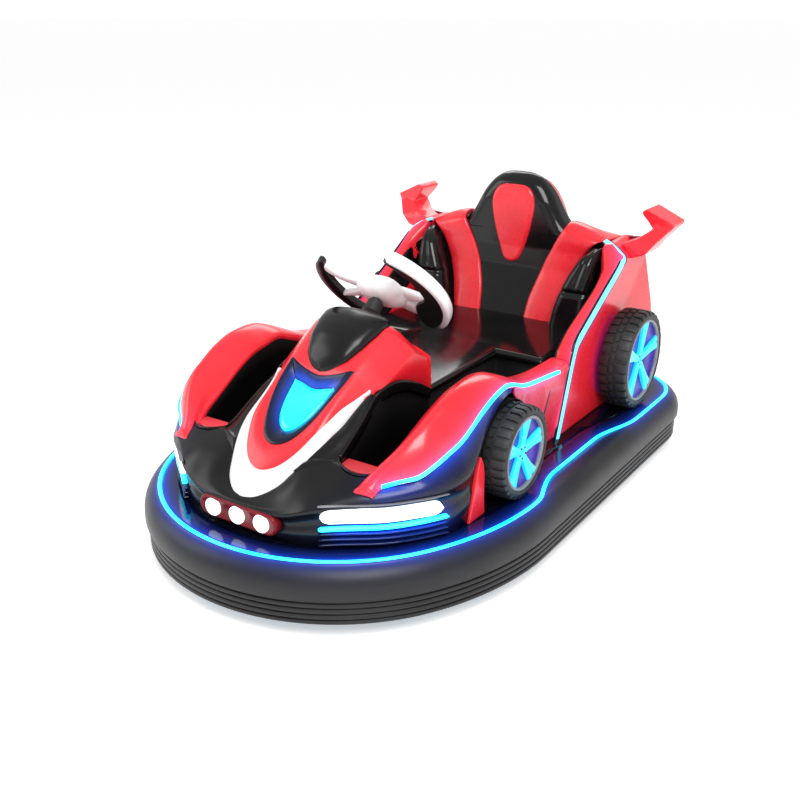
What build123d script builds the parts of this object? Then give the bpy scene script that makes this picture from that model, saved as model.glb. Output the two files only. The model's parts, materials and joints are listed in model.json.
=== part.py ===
"""Battery bumper car with a racing-car body, for one driver and a passenger.

Row frame: millimetres, +Z up, the car's nose towards -Y and its left side towards +X.
The origin is on the ground at the middle of the car's length and width.
"""

import math
import os

from build123d import *

os.makedirs("parts", exist_ok=True)

# ---------------------------------------------------------------- driving dimensions
HALF_WIDTH = 578.0          # widest point of the rubber ring
NOSE_Y = -928.0             # foremost point of the ring
NOSE_RADIUS = 548.0         # front arc of the ring in plan
NOSE_SPREAD = 60.0          # degrees that the front arc covers on each side of the nose
REAR_CORNER_Y = 640.0       # where the straight side ends and the rear corner begins
REAR_CORNER_RADIUS = 250.0
REAR_CORNER_SPREAD = 77.0   # degrees that a rear corner arc covers

RING_BOTTOM = 40.0
RING_BAND_TOP = 108.0       # top of the grooved band
RING_SHOULDER = 58.0        # radius of the ring's upper edge
BAND_INSET = 8.0
GROOVE_DEPTH = 6.0
GROOVE_HEIGHT = 4.0
GROOVE_PITCH = 15.0
GROOVES = 4

DECK_TOP = 188.0
DECK_THICK = 12.0
DECK_INSET = 44.0           # deck edge, in from the ring's outline
WAIST_DEPTH = 88.0          # the deck edge's waist between the wheels, in from the ring's side
WAIST_X = HALF_WIDTH - WAIST_DEPTH
WAIST_BEND = WAIST_DEPTH    # radius of the bends at the waist
LIGHT_WIDTH = 10.0          # every light strip
LIGHT_PROUD = 3.0
WALL = 10.0
CLEAR = 0.3                 # between pieces that are seated on each other with a curved or sloping face

SEAT_TOP = 423.0
SEAT_LIP = 26.0
SEAT_OVERHANG = 10.0
SEAT_FRONT = 151.0
TUNNEL_HALF = 172.0
SEAT_REAR = 434.0           # where the seat pan ends and the step under the backrest begins
BACK_STEP = 10.0            # height of that step below the seat pan
PILLAR_IN = 326.0           # inner face of the rear quarters

WELL_FRONT = -640.0
WELL_FLOOR = 100.0
WELL_WALL = 6.0

WHEEL_STEER_Y = -560.0      # upright axis of the driven front wheel
DRIVE_RADIUS = 100.0
DRIVE_WIDTH = 70.0
DRIVE_WELL = 150.0
ROAD_RADIUS = 80.0
ROAD_WIDTH = 56.0
ROAD_X = 330.0
ROAD_Y = 480.0
AXLE_RADIUS = 10.0
RUN_CLEAR = 0.08            # radial play of a shaft in its bore
SIDE_CLEAR = 6.0            # room beside a wheel that turns

TUBE = 36.0

COLUMN_TILT = 42.5          # degrees of the steering axis above the horizon
HUB_Y = -192.0
HUB_Z = 660.0
RIM_RADIUS = 206.0          # outside of the steering wheel
COLUMN_TOP = 48.0           # the column's two ends, down from the steering wheel's centre
COLUMN_END = 488.0
COLUMN_RADIUS = 20.0
COLUMN_ROOM = 6.0           # round the column where it passes the body
SHAFT = 9.0
SHAFT_DEPTH = 100.0         # depth of the column's bore
GEARBOX_BOTTOM = 252.0
GEARBOX_TOP = 350.0
KINGPIN = 18.0
BRIDGE_HALF = 55.0
HOOD_VOID = 80.0            # half width of the space in the hood


def on_axis(distance):
    """Point on the steering axis, that far down from the steering wheel's centre."""
    tilt = math.radians(COLUMN_TILT)
    return (0, HUB_Y - distance * math.cos(tilt), HUB_Z - distance * math.sin(tilt))


def steering_plane(distance):
    """Plane square to the steering axis, facing the driver, that far down the axis."""
    tilt = math.radians(COLUMN_TILT)
    return Plane(origin=on_axis(distance), x_dir=(1, 0, 0), z_dir=(0, math.cos(tilt), math.sin(tilt)))


def save(part, name):
    """Labels a finished piece and writes it as one STEP file."""
    part.label = name
    export_step(part, f"parts/{name}.step")


def save_pair(left, name):
    """Writes a piece of the left side and its mirror image as two nodes."""
    with BuildPart() as right:
        mirror(left.part, about=Plane.YZ)
    save(left.part, f"{name}_left")
    save(right.part, f"{name}_right")


# ---------------------------------------------------------------- plan of the ring and deck
def ring_plan(inset):
    """Adds the ring's outline, moved in by inset, to the open BuildLine."""
    spread = math.radians(NOSE_SPREAD)
    nose_cy = NOSE_Y + NOSE_RADIUS
    side_radius = (HALF_WIDTH - NOSE_RADIUS * math.sin(spread)) / (1 - math.sin(spread))
    side_cx = HALF_WIDTH - side_radius
    side_cy = nose_cy + (side_radius - NOSE_RADIUS) * math.cos(spread)
    corner = math.radians(REAR_CORNER_SPREAD)
    corner_cx = HALF_WIDTH - REAR_CORNER_RADIUS
    tail_radius = REAR_CORNER_RADIUS + corner_cx / math.cos(corner)
    tail_cy = REAR_CORNER_Y + (REAR_CORNER_RADIUS - tail_radius) * math.sin(corner)
    x = HALF_WIDTH - inset
    CenterArc((0, nose_cy), NOSE_RADIUS - inset, -90 - NOSE_SPREAD, 2 * NOSE_SPREAD)
    CenterArc((side_cx, side_cy), side_radius - inset, NOSE_SPREAD - 90, 90 - NOSE_SPREAD)
    Line((x, side_cy), (x, REAR_CORNER_Y))
    CenterArc((corner_cx, REAR_CORNER_Y), REAR_CORNER_RADIUS - inset, 0, REAR_CORNER_SPREAD)
    CenterArc((0, tail_cy), tail_radius - inset, REAR_CORNER_SPREAD, 180 - 2 * REAR_CORNER_SPREAD)
    CenterArc((-corner_cx, REAR_CORNER_Y), REAR_CORNER_RADIUS - inset,
              180 - REAR_CORNER_SPREAD, REAR_CORNER_SPREAD)
    Line((-x, REAR_CORNER_Y), (-x, side_cy))
    CenterArc((-side_cx, side_cy), side_radius - inset, 180, 90 - NOSE_SPREAD)


def ring_face(inset):
    """Face of the ring's outline, moved in by inset."""
    with BuildSketch(Plane.XY) as plan:
        with BuildLine():
            ring_plan(inset)
        make_face()
    return plan.sketch


def deck_face(grow):
    """Face of the deck's outline with its waist, grown by grow."""
    outer = HALF_WIDTH
    # the waist on the left side, as (x, y) down its edge
    waist = [(outer, -260), (WAIST_X + grow + WAIST_DEPTH / 2, -225), (WAIST_X + grow, -110),
             (WAIST_X + grow, 225), (WAIST_X + grow + WAIST_DEPTH / 2 + 4, 400), (outer, 440)]
    with BuildSketch(Plane.XY) as plan:
        with BuildLine():
            ring_plan(DECK_INSET - grow)
        make_face()
        for side in (1, -1):
            with BuildLine():
                FilletPolyline(*[(side * x, y) for x, y in waist], radius=WAIST_BEND)
                Line((side * waist[-1][0], waist[-1][1]), (side * waist[0][0], waist[0][1]))
            make_face(mode=Mode.SUBTRACT)
    return plan.sketch


with BuildPart() as bumper_ring:
    for k in range(GROOVES + 1):
        base = RING_BOTTOM + k * GROOVE_PITCH
        top = RING_BAND_TOP if k == GROOVES else base + GROOVE_PITCH - GROOVE_HEIGHT
        with BuildSketch(Plane.XY.offset(base)):
            add(ring_face(BAND_INSET))
        extrude(amount=top - base)
        if k < GROOVES:
            with BuildSketch(Plane.XY.offset(top)):
                add(ring_face(BAND_INSET + GROOVE_DEPTH))
            extrude(amount=GROOVE_HEIGHT)
    with BuildSketch(Plane.XY.offset(RING_BAND_TOP)):
        add(ring_face(0))
    extrude(amount=DECK_TOP - RING_BAND_TOP)
    fillet(bumper_ring.faces().sort_by(Axis.Z)[-1].edges(), radius=RING_SHOULDER)
    with BuildSketch(Plane.XY.offset(RING_BOTTOM)):
        add(deck_face(LIGHT_WIDTH / 2))
    extrude(amount=DECK_TOP, mode=Mode.SUBTRACT)
save(bumper_ring.part, "bumper_ring")

with BuildPart() as ring_light:
    with BuildSketch(Plane.XY.offset(DECK_TOP - DECK_THICK)):
        add(deck_face(LIGHT_WIDTH / 2))
        add(deck_face(-LIGHT_WIDTH / 2), mode=Mode.SUBTRACT)
    extrude(amount=DECK_THICK + LIGHT_PROUD)
save(ring_light.part, "ring_light")


# ---------------------------------------------------------------- solids from outlines
def both(points):
    """Closes an outline of (x, other) points of the left side with its mirror image."""
    return list(points) + [(-x, other) for x, other in reversed(points) if x > 0]


def outline_face(plane, points, radius=0):
    """Face of a closed outline on a plane, with its corners rounded if a radius is given."""
    with BuildSketch(plane) as shape:
        with BuildLine():
            if radius:
                FilletPolyline(*points, radius=radius, close=True)
            else:
                Polyline(*points, close=True)
        make_face()
    return shape.sketch


def prism_x(points, x0, x1, radius=0):
    """Outline of (y, z) points run from x0 to x1."""
    with BuildPart() as run:
        add(outline_face(Plane.YZ.offset(x0), points, radius))
        extrude(amount=x1 - x0, dir=(1, 0, 0))
    return run.part


def prism_y(points, y0, y1, radius=0):
    """Outline of (x, z) points run from y0 to y1."""
    with BuildPart() as run:
        add(outline_face(Plane.XZ.offset(-y0), points, radius))
        extrude(amount=y1 - y0, dir=(0, 1, 0))
    return run.part


def prism_z(points, z0, z1, radius=0):
    """Outline of (x, y) points run from z0 to z1."""
    with BuildPart() as run:
        add(outline_face(Plane.XY.offset(z0), points, radius))
        extrude(amount=z1 - z0, dir=(0, 0, 1))
    return run.part


def loft_y(stations):
    """Ruled loft through (y, outline of (x, z) points)."""
    with BuildPart() as run:
        for y, points in stations:
            add(outline_face(Plane.XZ.offset(-y), points))
        loft(ruled=True)
    return run.part


def box(x0, x1, y0, y1, z0, z1):
    """Block between six planes."""
    with BuildPart() as run:
        with Locations(((x0 + x1) / 2, (y0 + y1) / 2, (z0 + z1) / 2)):
            Box(abs(x1 - x0), abs(y1 - y0), abs(z1 - z0))
    return run.part


def disc_x(y, z, radius, x0, x1):
    """Cylinder along X between two planes."""
    with BuildPart() as run:
        with BuildSketch(Plane.YZ.offset(x0)):
            with Locations((y, z)):
                Circle(radius)
        extrude(amount=x1 - x0)
    return run.part


def disc_z(x, y, radius, z0, z1):
    """Cylinder along Z between two planes."""
    with BuildPart() as run:
        with BuildSketch(Plane.XY.offset(z0)):
            with Locations((x, y)):
                Circle(radius)
        extrude(amount=z1 - z0)
    return run.part


def deck_prism(grow, z0, z1):
    """The deck's outline, grown by grow, between two heights."""
    with BuildPart() as run:
        with BuildSketch(Plane.XY.offset(z0)):
            add(deck_face(grow))
        extrude(amount=z1 - z0)
    return run.part


# ---------------------------------------------------------------- deck, footwells, chassis
# outline of the left footwell's opening in the deck, as (x, y)
WELL = [(TUNNEL_HALF, SEAT_FRONT - 1), (330, SEAT_FRONT - 1), (330, 0), (316, -274), (300, -536),
        (290, WELL_FRONT), (TUNNEL_HALF, WELL_FRONT)]
FRAME_TOP = WELL_FLOOR - WELL_WALL
BODY_LIMIT = -16.0          # the body's foot, in from the light's middle
ALL_Y = 2 * NOSE_Y          # farther out than any piece, along and across
ALL_Z = HUB_Z - NOSE_Y      # higher than any piece


def well_part(inset, z0, z1):
    """The left footwell's outline, moved in by inset, between two heights."""
    with BuildPart() as run:
        with BuildSketch(Plane.XY.offset(z0)):
            add(outline_face(Plane.XY, WELL))
            if inset:
                offset(amount=-inset, kind=Kind.INTERSECTION, mode=Mode.REPLACE)
        extrude(amount=z1 - z0, dir=(0, 0, 1))
    return run.part


DECK_JOINT = 0.5            # between the deck's panels, level with the footwells' ends
with BuildPart() as deck_plate:
    add(deck_prism(-LIGHT_WIDTH / 2, DECK_TOP - DECK_THICK, DECK_TOP))
    with BuildPart(mode=Mode.PRIVATE) as deck_holes:
        add(well_part(0, DECK_TOP - 2 * DECK_THICK, DECK_TOP + 1))
        mirror(about=Plane.YZ)
        add(disc_z(0, WHEEL_STEER_Y, DRIVE_WELL, DECK_TOP - 2 * DECK_THICK, DECK_TOP + 1))
        for y in (WELL_FRONT - DECK_JOINT, SEAT_FRONT - 1):
            add(box(-HALF_WIDTH, HALF_WIDTH, y, y + DECK_JOINT, DECK_TOP - 2 * DECK_THICK,
                    DECK_TOP + 1))
    add(deck_holes.part, mode=Mode.SUBTRACT)
save(deck_plate.part, "deck_plate")

with BuildPart() as footwell:
    add(well_part(0, WELL_FLOOR - WELL_WALL, DECK_TOP))
    add(well_part(WELL_WALL, WELL_FLOOR, DECK_TOP + 1), mode=Mode.SUBTRACT)
save_pair(footwell, "footwell")

# cross tubes of the chassis, as the y of each one's front face
CROSS_TUBES = [-756.0, WHEEL_STEER_Y + DRIVE_WELL + 10, 100.0, 640.0]
RAIL_MIDDLE = 258.0
RAIL_OUT = RAIL_MIDDLE + TUBE / 2
with BuildPart() as chassis_frame:
    for side in (1, -1):
        add(box(side * RAIL_MIDDLE - TUBE / 2, side * RAIL_MIDDLE + TUBE / 2, -745, 670,
                FRAME_TOP - TUBE, FRAME_TOP))
        for y in (-743.0, 645.0):
            add(box(side * RAIL_MIDDLE - TUBE / 2, side * RAIL_MIDDLE + TUBE / 2, y, y + 20,
                    FRAME_TOP - 1, DECK_TOP - DECK_THICK))
    for y in CROSS_TUBES:
        add(box(-HALF_WIDTH, HALF_WIDTH, y, y + TUBE, FRAME_TOP - TUBE, FRAME_TOP))
    add(deck_prism(LIGHT_WIDTH / 2 - CLEAR, 0, DECK_TOP), mode=Mode.INTERSECT)
save(chassis_frame.part, "chassis_frame")

with BuildPart() as rear_axles:
    for side in (1, -1):
        x0, x1 = sorted((side * RAIL_OUT, side * (ROAD_X + ROAD_WIDTH / 2 + SIDE_CLEAR + 2)))
        add(disc_x(ROAD_Y, ROAD_RADIUS, AXLE_RADIUS, x0, x1))
        plate = side * (ROAD_X + ROAD_WIDTH / 2 + SIDE_CLEAR)
        add(box(plate, plate + side * 8, ROAD_Y - 30, ROAD_Y + 30, ROAD_RADIUS - 20,
                DECK_TOP - DECK_THICK))
save(rear_axles.part, "rear_axles")

with BuildPart() as battery:
    add(box(-150, 150, 200, 420, DECK_TOP, 370))
save(battery.part, "battery")

# ---------------------------------------------------------------- nose
# sections of the nose: y, half width at the deck, side top (x, z), edge (x, z), middle z
NOSE = [
    (-806, 132, 136, 222, 92, 258, 268),
    (-770, 150, 148, 250, 104, 292, 301),
    (-726, 164, 156, 296, 108, 324, 329),
    (-684, 170, 160, 334, 106, 362, 366),
    (-641, 172, 154, 366, 104, 400, 392),
    (-585, 172, 140, 402, 100, 444, 427),
    (-526, 172, 138, 440, 98, 484, 462),
    (-488, 172, 146, 460, 97, 509, 482),
    (-479, 172, 148, 464, 97, 515, 512),
    (-423, 172, 166, 484, 98, 552, 540),
    (-311, 172, 175, 540, 110, 606, 610),
    (-223, 172, 175, 498, 128, 512, 514),
]


def nose_loft(inset):
    """The nose's body, moved in by inset and open at the deck."""
    foot = DECK_TOP - (20 if inset else 0)
    stations = []
    for y, foot_x, side_x, side_z, edge_x, edge_z, mid_z in NOSE:
        half = [(foot_x - inset, foot), (side_x - inset, side_z - inset),
                (edge_x - inset, edge_z - inset), (0, mid_z - inset)]
        stations.append((y, both(half)))
    stations[0] = (stations[0][0] + inset, stations[0][1])
    stations[-1] = (stations[-1][0] - inset, stations[-1][1])
    return loft_y(stations)


# plan outlines of the nose's fields, as (x, y) of the left side
LAMP_FIELD = [(0, -641), (36, -618), (56, -575), (63, -530), (63, -516), (0, -521)]
FRAME_FIELD = [(0, -684), (36, -668), (56, -643), (78, -598), (90, -545), (98, -500), (98, -472),
               (48, -482), (0, -487)]
TRIM_OUT = [(0, -795), (32, -785), (68, -760), (99, -714), (126, -650), (136, -585), (140, -520),
            (147, -469)]
TRIM_IN = [(0, -729), (36, -718), (66, -693), (90, -655), (108, -608), (120, -540), (145.5, -469)]
# lower edge of the red side over the footwell, as (y, z)
SIDE_ARCH = [(-469, 460), (-423, 480), (-367, 477), (-297, 450), (-222, 412)]
TRIM_END = TRIM_OUT[-1][1]

nose_out = nose_loft(0)
nose_void = nose_loft(WALL)
with BuildPart() as column_hole:
    with BuildSketch(steering_plane(0)):
        Circle(COLUMN_RADIUS + COLUMN_ROOM)
    extrude(amount=-COLUMN_END)
with BuildPart() as nose_skin:
    add(nose_out)
    add(nose_void, mode=Mode.SUBTRACT)
    add(column_hole.part, mode=Mode.SUBTRACT)

lamp_field = prism_z(both(LAMP_FIELD), 0, ALL_Z)
frame_field = prism_z(both(FRAME_FIELD), 0, ALL_Z)
with BuildPart() as trim_field:
    add(prism_z(both(TRIM_OUT + [(0, TRIM_END)]), 0, ALL_Z))
    add(prism_z(both(TRIM_IN), 0, ALL_Z), mode=Mode.SUBTRACT)
with BuildPart() as black_field:
    add(box(-HALF_WIDTH, HALF_WIDTH, ALL_Y, TRIM_END, 0, ALL_Z))
    add(prism_z(both(TRIM_OUT + [(0, TRIM_END)]), 0, ALL_Z), mode=Mode.SUBTRACT)
    add(prism_x(SIDE_ARCH + [(SIDE_ARCH[-1][0], 0), (SIDE_ARCH[0][0], 0)], -HALF_WIDTH, HALF_WIDTH))
    add(box(-HALF_WIDTH, HALF_WIDTH, NOSE[-1][0] - WALL, 0, 0, ALL_Z))

with BuildPart() as nose_lamp:
    add(nose_skin.part)
    add(lamp_field, mode=Mode.INTERSECT)
save(nose_lamp.part, "nose_lamp")

with BuildPart() as nose_lamp_frame:
    add(nose_skin.part)
    add(frame_field, mode=Mode.INTERSECT)
    add(lamp_field, mode=Mode.SUBTRACT)
save(nose_lamp_frame.part, "nose_lamp_frame")

with BuildPart() as nose_trim:
    add(nose_skin.part)
    add(trim_field.part, mode=Mode.INTERSECT)
save(nose_trim.part, "nose_trim")

with BuildPart() as nose_shell:
    add(nose_skin.part)
    add(frame_field, mode=Mode.SUBTRACT)
    add(trim_field.part, mode=Mode.SUBTRACT)
    add(black_field.part, mode=Mode.SUBTRACT)
save(nose_shell.part, "nose_shell")

# sections of the front on the left: x, front y, crease z, middle (y, z), and the rim's z
FRONT = [
    (90, -806, 246, -742, 300, 366),
    (132, -801, 268, -738, 318, 366),
    (176, -791, 286, -730, 330, 366),
    (211, -779, 300, -722, 338, 366),
    (262, -741, 300, -702, 326, 366),
    (290, -717, 300, -690, 328, 366),
]
RIM_Y = WELL_FRONT - 1


def front_loft(inset):
    """The front between the nose and the left pod, moved in by inset and open at the deck."""
    with BuildPart() as run:
        for k, (x, y, crease, mid_y, mid_z, rim_z) in enumerate(FRONT):
            if inset and k == len(FRONT) - 1:
                x = x - inset
            foot = DECK_TOP - (20 if inset else 0)
            section = [(y + inset, foot), (y + inset, crease - inset), (mid_y + inset, mid_z - inset),
                       (RIM_Y - inset, rim_z - inset), (RIM_Y - inset, foot)]
            add(outline_face(Plane.YZ.offset(x), section))
        loft(ruled=True)
    return run.part


front_out = front_loft(0)
with BuildPart() as front_fascia:
    add(front_out)
    add(front_loft(WALL), mode=Mode.SUBTRACT)
    mirror(about=Plane.YZ)
    add(nose_out, mode=Mode.SUBTRACT)
    with BuildPart(mode=Mode.PRIVATE) as black_nose:
        add(nose_skin.part)
        add(black_field.part, mode=Mode.INTERSECT)
    add(black_nose.part)
save(front_fascia.part, "front_fascia")

# the hood's side section as (y, z), and its plan on the left side as (x, y)
HOOD = [(-477, 480), (-477, 520), (-445, 566), (-392, 610), (-345, 630), (-311, 630), (-311, 480)]
HOOD_PLAN = [(0, -477), (34, -471), (66, -450), (84, -410), (96, -355), (102, -311), (0, -311)]
with BuildPart() as cowl_panel:
    add(prism_x(HOOD, -TUNNEL_HALF, TUNNEL_HALF))
    add(prism_z(both(HOOD_PLAN), 0, ALL_Z), mode=Mode.INTERSECT)
    add(prism_x([(y + WALL, z - WALL) for y, z in HOOD], -HOOD_VOID, HOOD_VOID), mode=Mode.SUBTRACT)
    add(column_hole.part, mode=Mode.SUBTRACT)
    add(nose_out, mode=Mode.SUBTRACT)
save(cowl_panel.part, "cowl_panel")

# ---------------------------------------------------------------- front lamps
LAMP_Z = 233.0
LAMP_PITCH = 78.0
LAMP_RADIUS = 23.0
LAMP_FACE_Y = -816.0
LAMP_PROUD = 6.0
with BuildPart() as lamp_bar:
    with BuildSketch(Plane.XZ.offset(-LAMP_FACE_Y)):
        with Locations((0, LAMP_Z)):
            SlotOverall(2 * LAMP_PITCH + 92, 56)
    extrude(amount=26, dir=(0, 1, 0))
    add(front_fascia.part, mode=Mode.SUBTRACT)
    add(nose_out, mode=Mode.SUBTRACT)
save(lamp_bar.part, "lamp_bar")

with BuildPart() as front_lamps:
    for k in (-1, 0, 1):
        with BuildSketch(Plane.XZ.offset(-LAMP_FACE_Y)):
            with Locations((k * LAMP_PITCH, LAMP_Z)):
                Circle(LAMP_RADIUS)
        extrude(amount=LAMP_PROUD)
save(front_lamps.part, "front_lamps")

# ---------------------------------------------------------------- decorative wheels
# x0 and x1 are the tyre's sides, tread is the tyre's height over the rim, and seat is the
# body's face that the rim's boss stands on
QUARTER_X = WAIST_X - 90    # outer face of the rear quarters
FRONT_WHEEL = dict(y=-264.0, radius=126.0, tread=26.0, seat=WAIST_X - 98, x0=WAIST_X - 98,
                   x1=WAIST_X + 7)
REAR_WHEEL = dict(y=510.0, radius=157.0, tread=27.0, seat=QUARTER_X, x0=QUARTER_X + 15,
                  x1=WAIST_X + 17)
WHEEL_BOSS = 60.0
ARCH_GAP = 6.0
SPOKES = 5


def arch_cut(wheel, grow):
    """Room for a decorative wheel in the body, grown by grow."""
    z = DECK_TOP + wheel["radius"]
    return disc_x(wheel["y"], z, wheel["radius"] + ARCH_GAP + grow, wheel["x0"] - grow, HALF_WIDTH)


for name, wheel in (("front", FRONT_WHEEL), ("rear", REAR_WHEEL)):
    y = wheel["y"]
    z = DECK_TOP + wheel["radius"]
    x0 = wheel["x0"]
    x1 = wheel["x1"]
    rim_radius = wheel["radius"] - wheel["tread"]
    with BuildPart() as tyre:
        add(disc_x(y, z, wheel["radius"], x0, x1))
        chamfer(tyre.edges().filter_by(GeomType.CIRCLE), length=10)
        add(disc_x(y, z, rim_radius, x0 - 1, x1 + 1), mode=Mode.SUBTRACT)
    save_pair(tyre, f"{name}_tyre")
    with BuildPart() as rim:
        add(disc_x(y, z, rim_radius, x0, x1 - 4))
        add(disc_x(y, z, rim_radius - 10, x0 + 12, x1), mode=Mode.SUBTRACT)
        add(disc_x(y, z, 24, x0 + 12, x1 - 14))
        add(disc_x(y, z, WHEEL_BOSS, wheel["seat"], x0 + 1))
        with Locations(Plane(origin=(x1 - 26, y, z), z_dir=(1, 0, 0))):
            with PolarLocations(0, SPOKES):
                with Locations(((rim_radius - 5) / 2, 0, 0)):
                    Box(rim_radius - 6, 26, 12)
        mirror(about=Plane.YZ)
    save(rim.part, f"{name}_rims")

# ---------------------------------------------------------------- side pods
# sections of the left pod: y, inner x, black top z at the inner side, inner edge z,
# outer edge (x, z), light line (x, z), x at the deck
POD = [
    (-725, 262, 288, 306, 272, 326, 286, 306, 320),
    (-665, 282, 326, 346, 305, 368, 324, 334, 404),
    (-600, 294, 358, 378, 345, 424, 386, 346, 470),
    (-550, 299, 384, 402, 356, 452, 401, 361, 505),
    (-500, 303, 410, 428, 362, 478, 410, 377, 500),
    (-462, 306, 430, 448, 366, 495, 420, 395, 478),
    (-390, 312, 458, 478, 372, 514, 424, 436, 444),
    (-274, 318, 474, 496, 362, 512, 424, 478, 424),
    (-210, 322, 450, 472, 372, 488, 418, 462, 410),
    (-112, 328, 415, 438, 378, 446, 402, 426, 394),
    (0, 332, 398, 420, 380, 430, 400, 413, 388),
    (120, 333, 390, 414, 380, 418, 400, 401, 388),
]
# the headlamp housing's outline on the left, as (x, y)
HOUSING = [(211, -779), (345, -676), (436, -560), (456, -480)]
HOUSING_BACK = [(456, 200), (262, 200), (262, -640), (286, -712)]
SILL_Y = 120.0


def pod_loft(choose):
    """Loft through the pod's stations, each turned into (x, z) points by choose."""
    return loft_y([(row[0], choose(*row[1:])) for row in POD])


housing_prism = prism_z(HOUSING + HOUSING_BACK, DECK_TOP - 30, 600)
with BuildPart() as pod_void:
    add(pod_loft(lambda xi, zb, zi, xo, zo, xs, zs, xd: [
        (xi + WALL, DECK_TOP - 20), (xi + WALL, zi - WALL), (xo - WALL, zo - WALL),
        (xs - WALL, zs - WALL / 2), (xd - WALL, DECK_TOP - 20)]))
    with BuildPart(mode=Mode.PRIVATE) as housing_inside:
        with BuildSketch(Plane.XY.offset(DECK_TOP - 30)):
            add(outline_face(Plane.XY, HOUSING + HOUSING_BACK))
            offset(amount=-WALL, kind=Kind.INTERSECTION, mode=Mode.REPLACE)
        extrude(amount=600, dir=(0, 0, 1))
    add(housing_inside.part, mode=Mode.INTERSECT)
    add(box(0, HALF_WIDTH, ALL_Y, SILL_Y - WALL, 0, ALL_Z), mode=Mode.INTERSECT)
    add(arch_cut(FRONT_WHEEL, WALL), mode=Mode.SUBTRACT)

with BuildPart() as pod:
    add(pod_loft(lambda xi, zb, zi, xo, zo, xs, zs, xd: [(xi, zb), (xi, zi), (xo, zo), (xs, zs)]))
    add(housing_prism, mode=Mode.INTERSECT)
    add(pod_void.part, mode=Mode.SUBTRACT)
    add(arch_cut(FRONT_WHEEL, 0), mode=Mode.SUBTRACT)
    add(front_out, mode=Mode.SUBTRACT)
save_pair(pod, "pod")

with BuildPart() as pod_lower:
    add(pod_loft(lambda xi, zb, zi, xo, zo, xs, zs, xd: [
        (xi, DECK_TOP), (xi, zb - CLEAR), (xs, zs - CLEAR), (xd, DECK_TOP)]))
    add(housing_prism, mode=Mode.INTERSECT)
    add(pod_void.part, mode=Mode.SUBTRACT)
    add(arch_cut(FRONT_WHEEL, 0), mode=Mode.SUBTRACT)
    add(front_out, mode=Mode.SUBTRACT)
save_pair(pod_lower, "pod_lower")

# the light along the pod's edge: a thin strip seated on the red panel's lower outer edge
with BuildPart() as pod_lights:
    for (y0, *a), (y1, *b) in zip(POD[1:-1], POD[2:]):
        stations = []
        for y, row in ((y0, a), (y1, b)):
            x = row[5]
            z = row[6]
            stations.append((y, [(x + 0.4, z + 8), (x + 0.4 + LIGHT_PROUD, z + 8),
                                 (x + 0.4 + LIGHT_PROUD, z), (x + 0.4, z)]))
        add(loft_y(stations))
    mirror(about=Plane.YZ)
save(pod_lights.part, "pod_lights")


def housing_band(out, z0, z1, y0, y1):
    """A band of that thickness on the headlamp housing's face, cut off at two planes."""
    outline = HOUSING + [(HOUSING[-1][0], 200), (HOUSING[0][0], 200)]
    with BuildPart() as band:
        with BuildSketch(Plane.XY.offset(z0)):
            add(outline_face(Plane.XY, outline))
            offset(amount=out, mode=Mode.REPLACE)
            add(outline_face(Plane.XY, outline), mode=Mode.SUBTRACT)
        extrude(amount=z1 - z0, dir=(0, 0, 1))
        add(box(HOUSING[0][0], HALF_WIDTH, y0, y1, z0 - 1, z1 + 1), mode=Mode.INTERSECT)
    return band.part


with BuildPart() as headlights:
    add(housing_band(8, 256, 292, -800, -556))
    add(front_fascia.part, mode=Mode.SUBTRACT)
    mirror(about=Plane.YZ)
save(headlights.part, "headlights")

with BuildPart() as headlight_strips:
    add(housing_band(6, 236, 245, -800, -540))
    add(front_fascia.part, mode=Mode.SUBTRACT)
    mirror(about=Plane.YZ)
save(headlight_strips.part, "headlight_strips")

# the upright fin ahead of each front decorative wheel, from the side, as (y, z)
SIDE_FIN = [(-472, DECK_TOP), (-360, DECK_TOP), (-396, 300), (-420, 352)]
with BuildPart() as side_fins:
    add(prism_x(SIDE_FIN, 436, 450))
    add(arch_cut(FRONT_WHEEL, 0), mode=Mode.SUBTRACT)
    add(pod_lower.part, mode=Mode.SUBTRACT)
    add(pod_void.part, mode=Mode.SUBTRACT)
    mirror(about=Plane.YZ)
save(side_fins.part, "side_fins")

with BuildPart() as foot_bars:
    add(box(TUNNEL_HALF, 300, -600, -572, 300, 318))
    add(pod_lower.part, mode=Mode.SUBTRACT)
    mirror(about=Plane.YZ)
save(foot_bars.part, "foot_bars")

# ---------------------------------------------------------------- rear body
# outline of the rear quarter from the side, as (y, z)
QUARTER = [(SILL_Y + 1, DECK_TOP), (SILL_Y + 1, 401), (176, 415), (228, 464), (556, 661.6),
           (640, 680), (690, 690), (741, 640), (780, 470), (792, 380), (792, DECK_TOP)]
# behind the wheel the quarter's side flares out; the plan as (x, y)
FLARE = 24.0
QUARTER_PLAN = [(PILLAR_IN, SILL_Y), (QUARTER_X, SILL_Y), (QUARTER_X, 690),
                (QUARTER_X + FLARE, 800), (PILLAR_IN, 800)]


def quarter_block(inset):
    """The rear quarter as a full solid, with every face but the lowest moved in by inset."""
    with BuildPart() as block:
        with BuildSketch(Plane.YZ.offset(PILLAR_IN + inset)):
            add(outline_face(Plane.XY, QUARTER))
            offset(amount=-inset, kind=Kind.INTERSECTION, mode=Mode.REPLACE)
        extrude(amount=QUARTER_X + FLARE - PILLAR_IN - inset, dir=(1, 0, 0))
        with BuildPart(mode=Mode.PRIVATE) as plan:
            with BuildSketch(Plane.XY):
                add(outline_face(Plane.XY, QUARTER_PLAN))
                offset(amount=-inset, kind=Kind.INTERSECTION, mode=Mode.REPLACE)
            extrude(amount=ALL_Z, dir=(0, 0, 1))
        add(plan.part, mode=Mode.INTERSECT)
    return block.part


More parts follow.
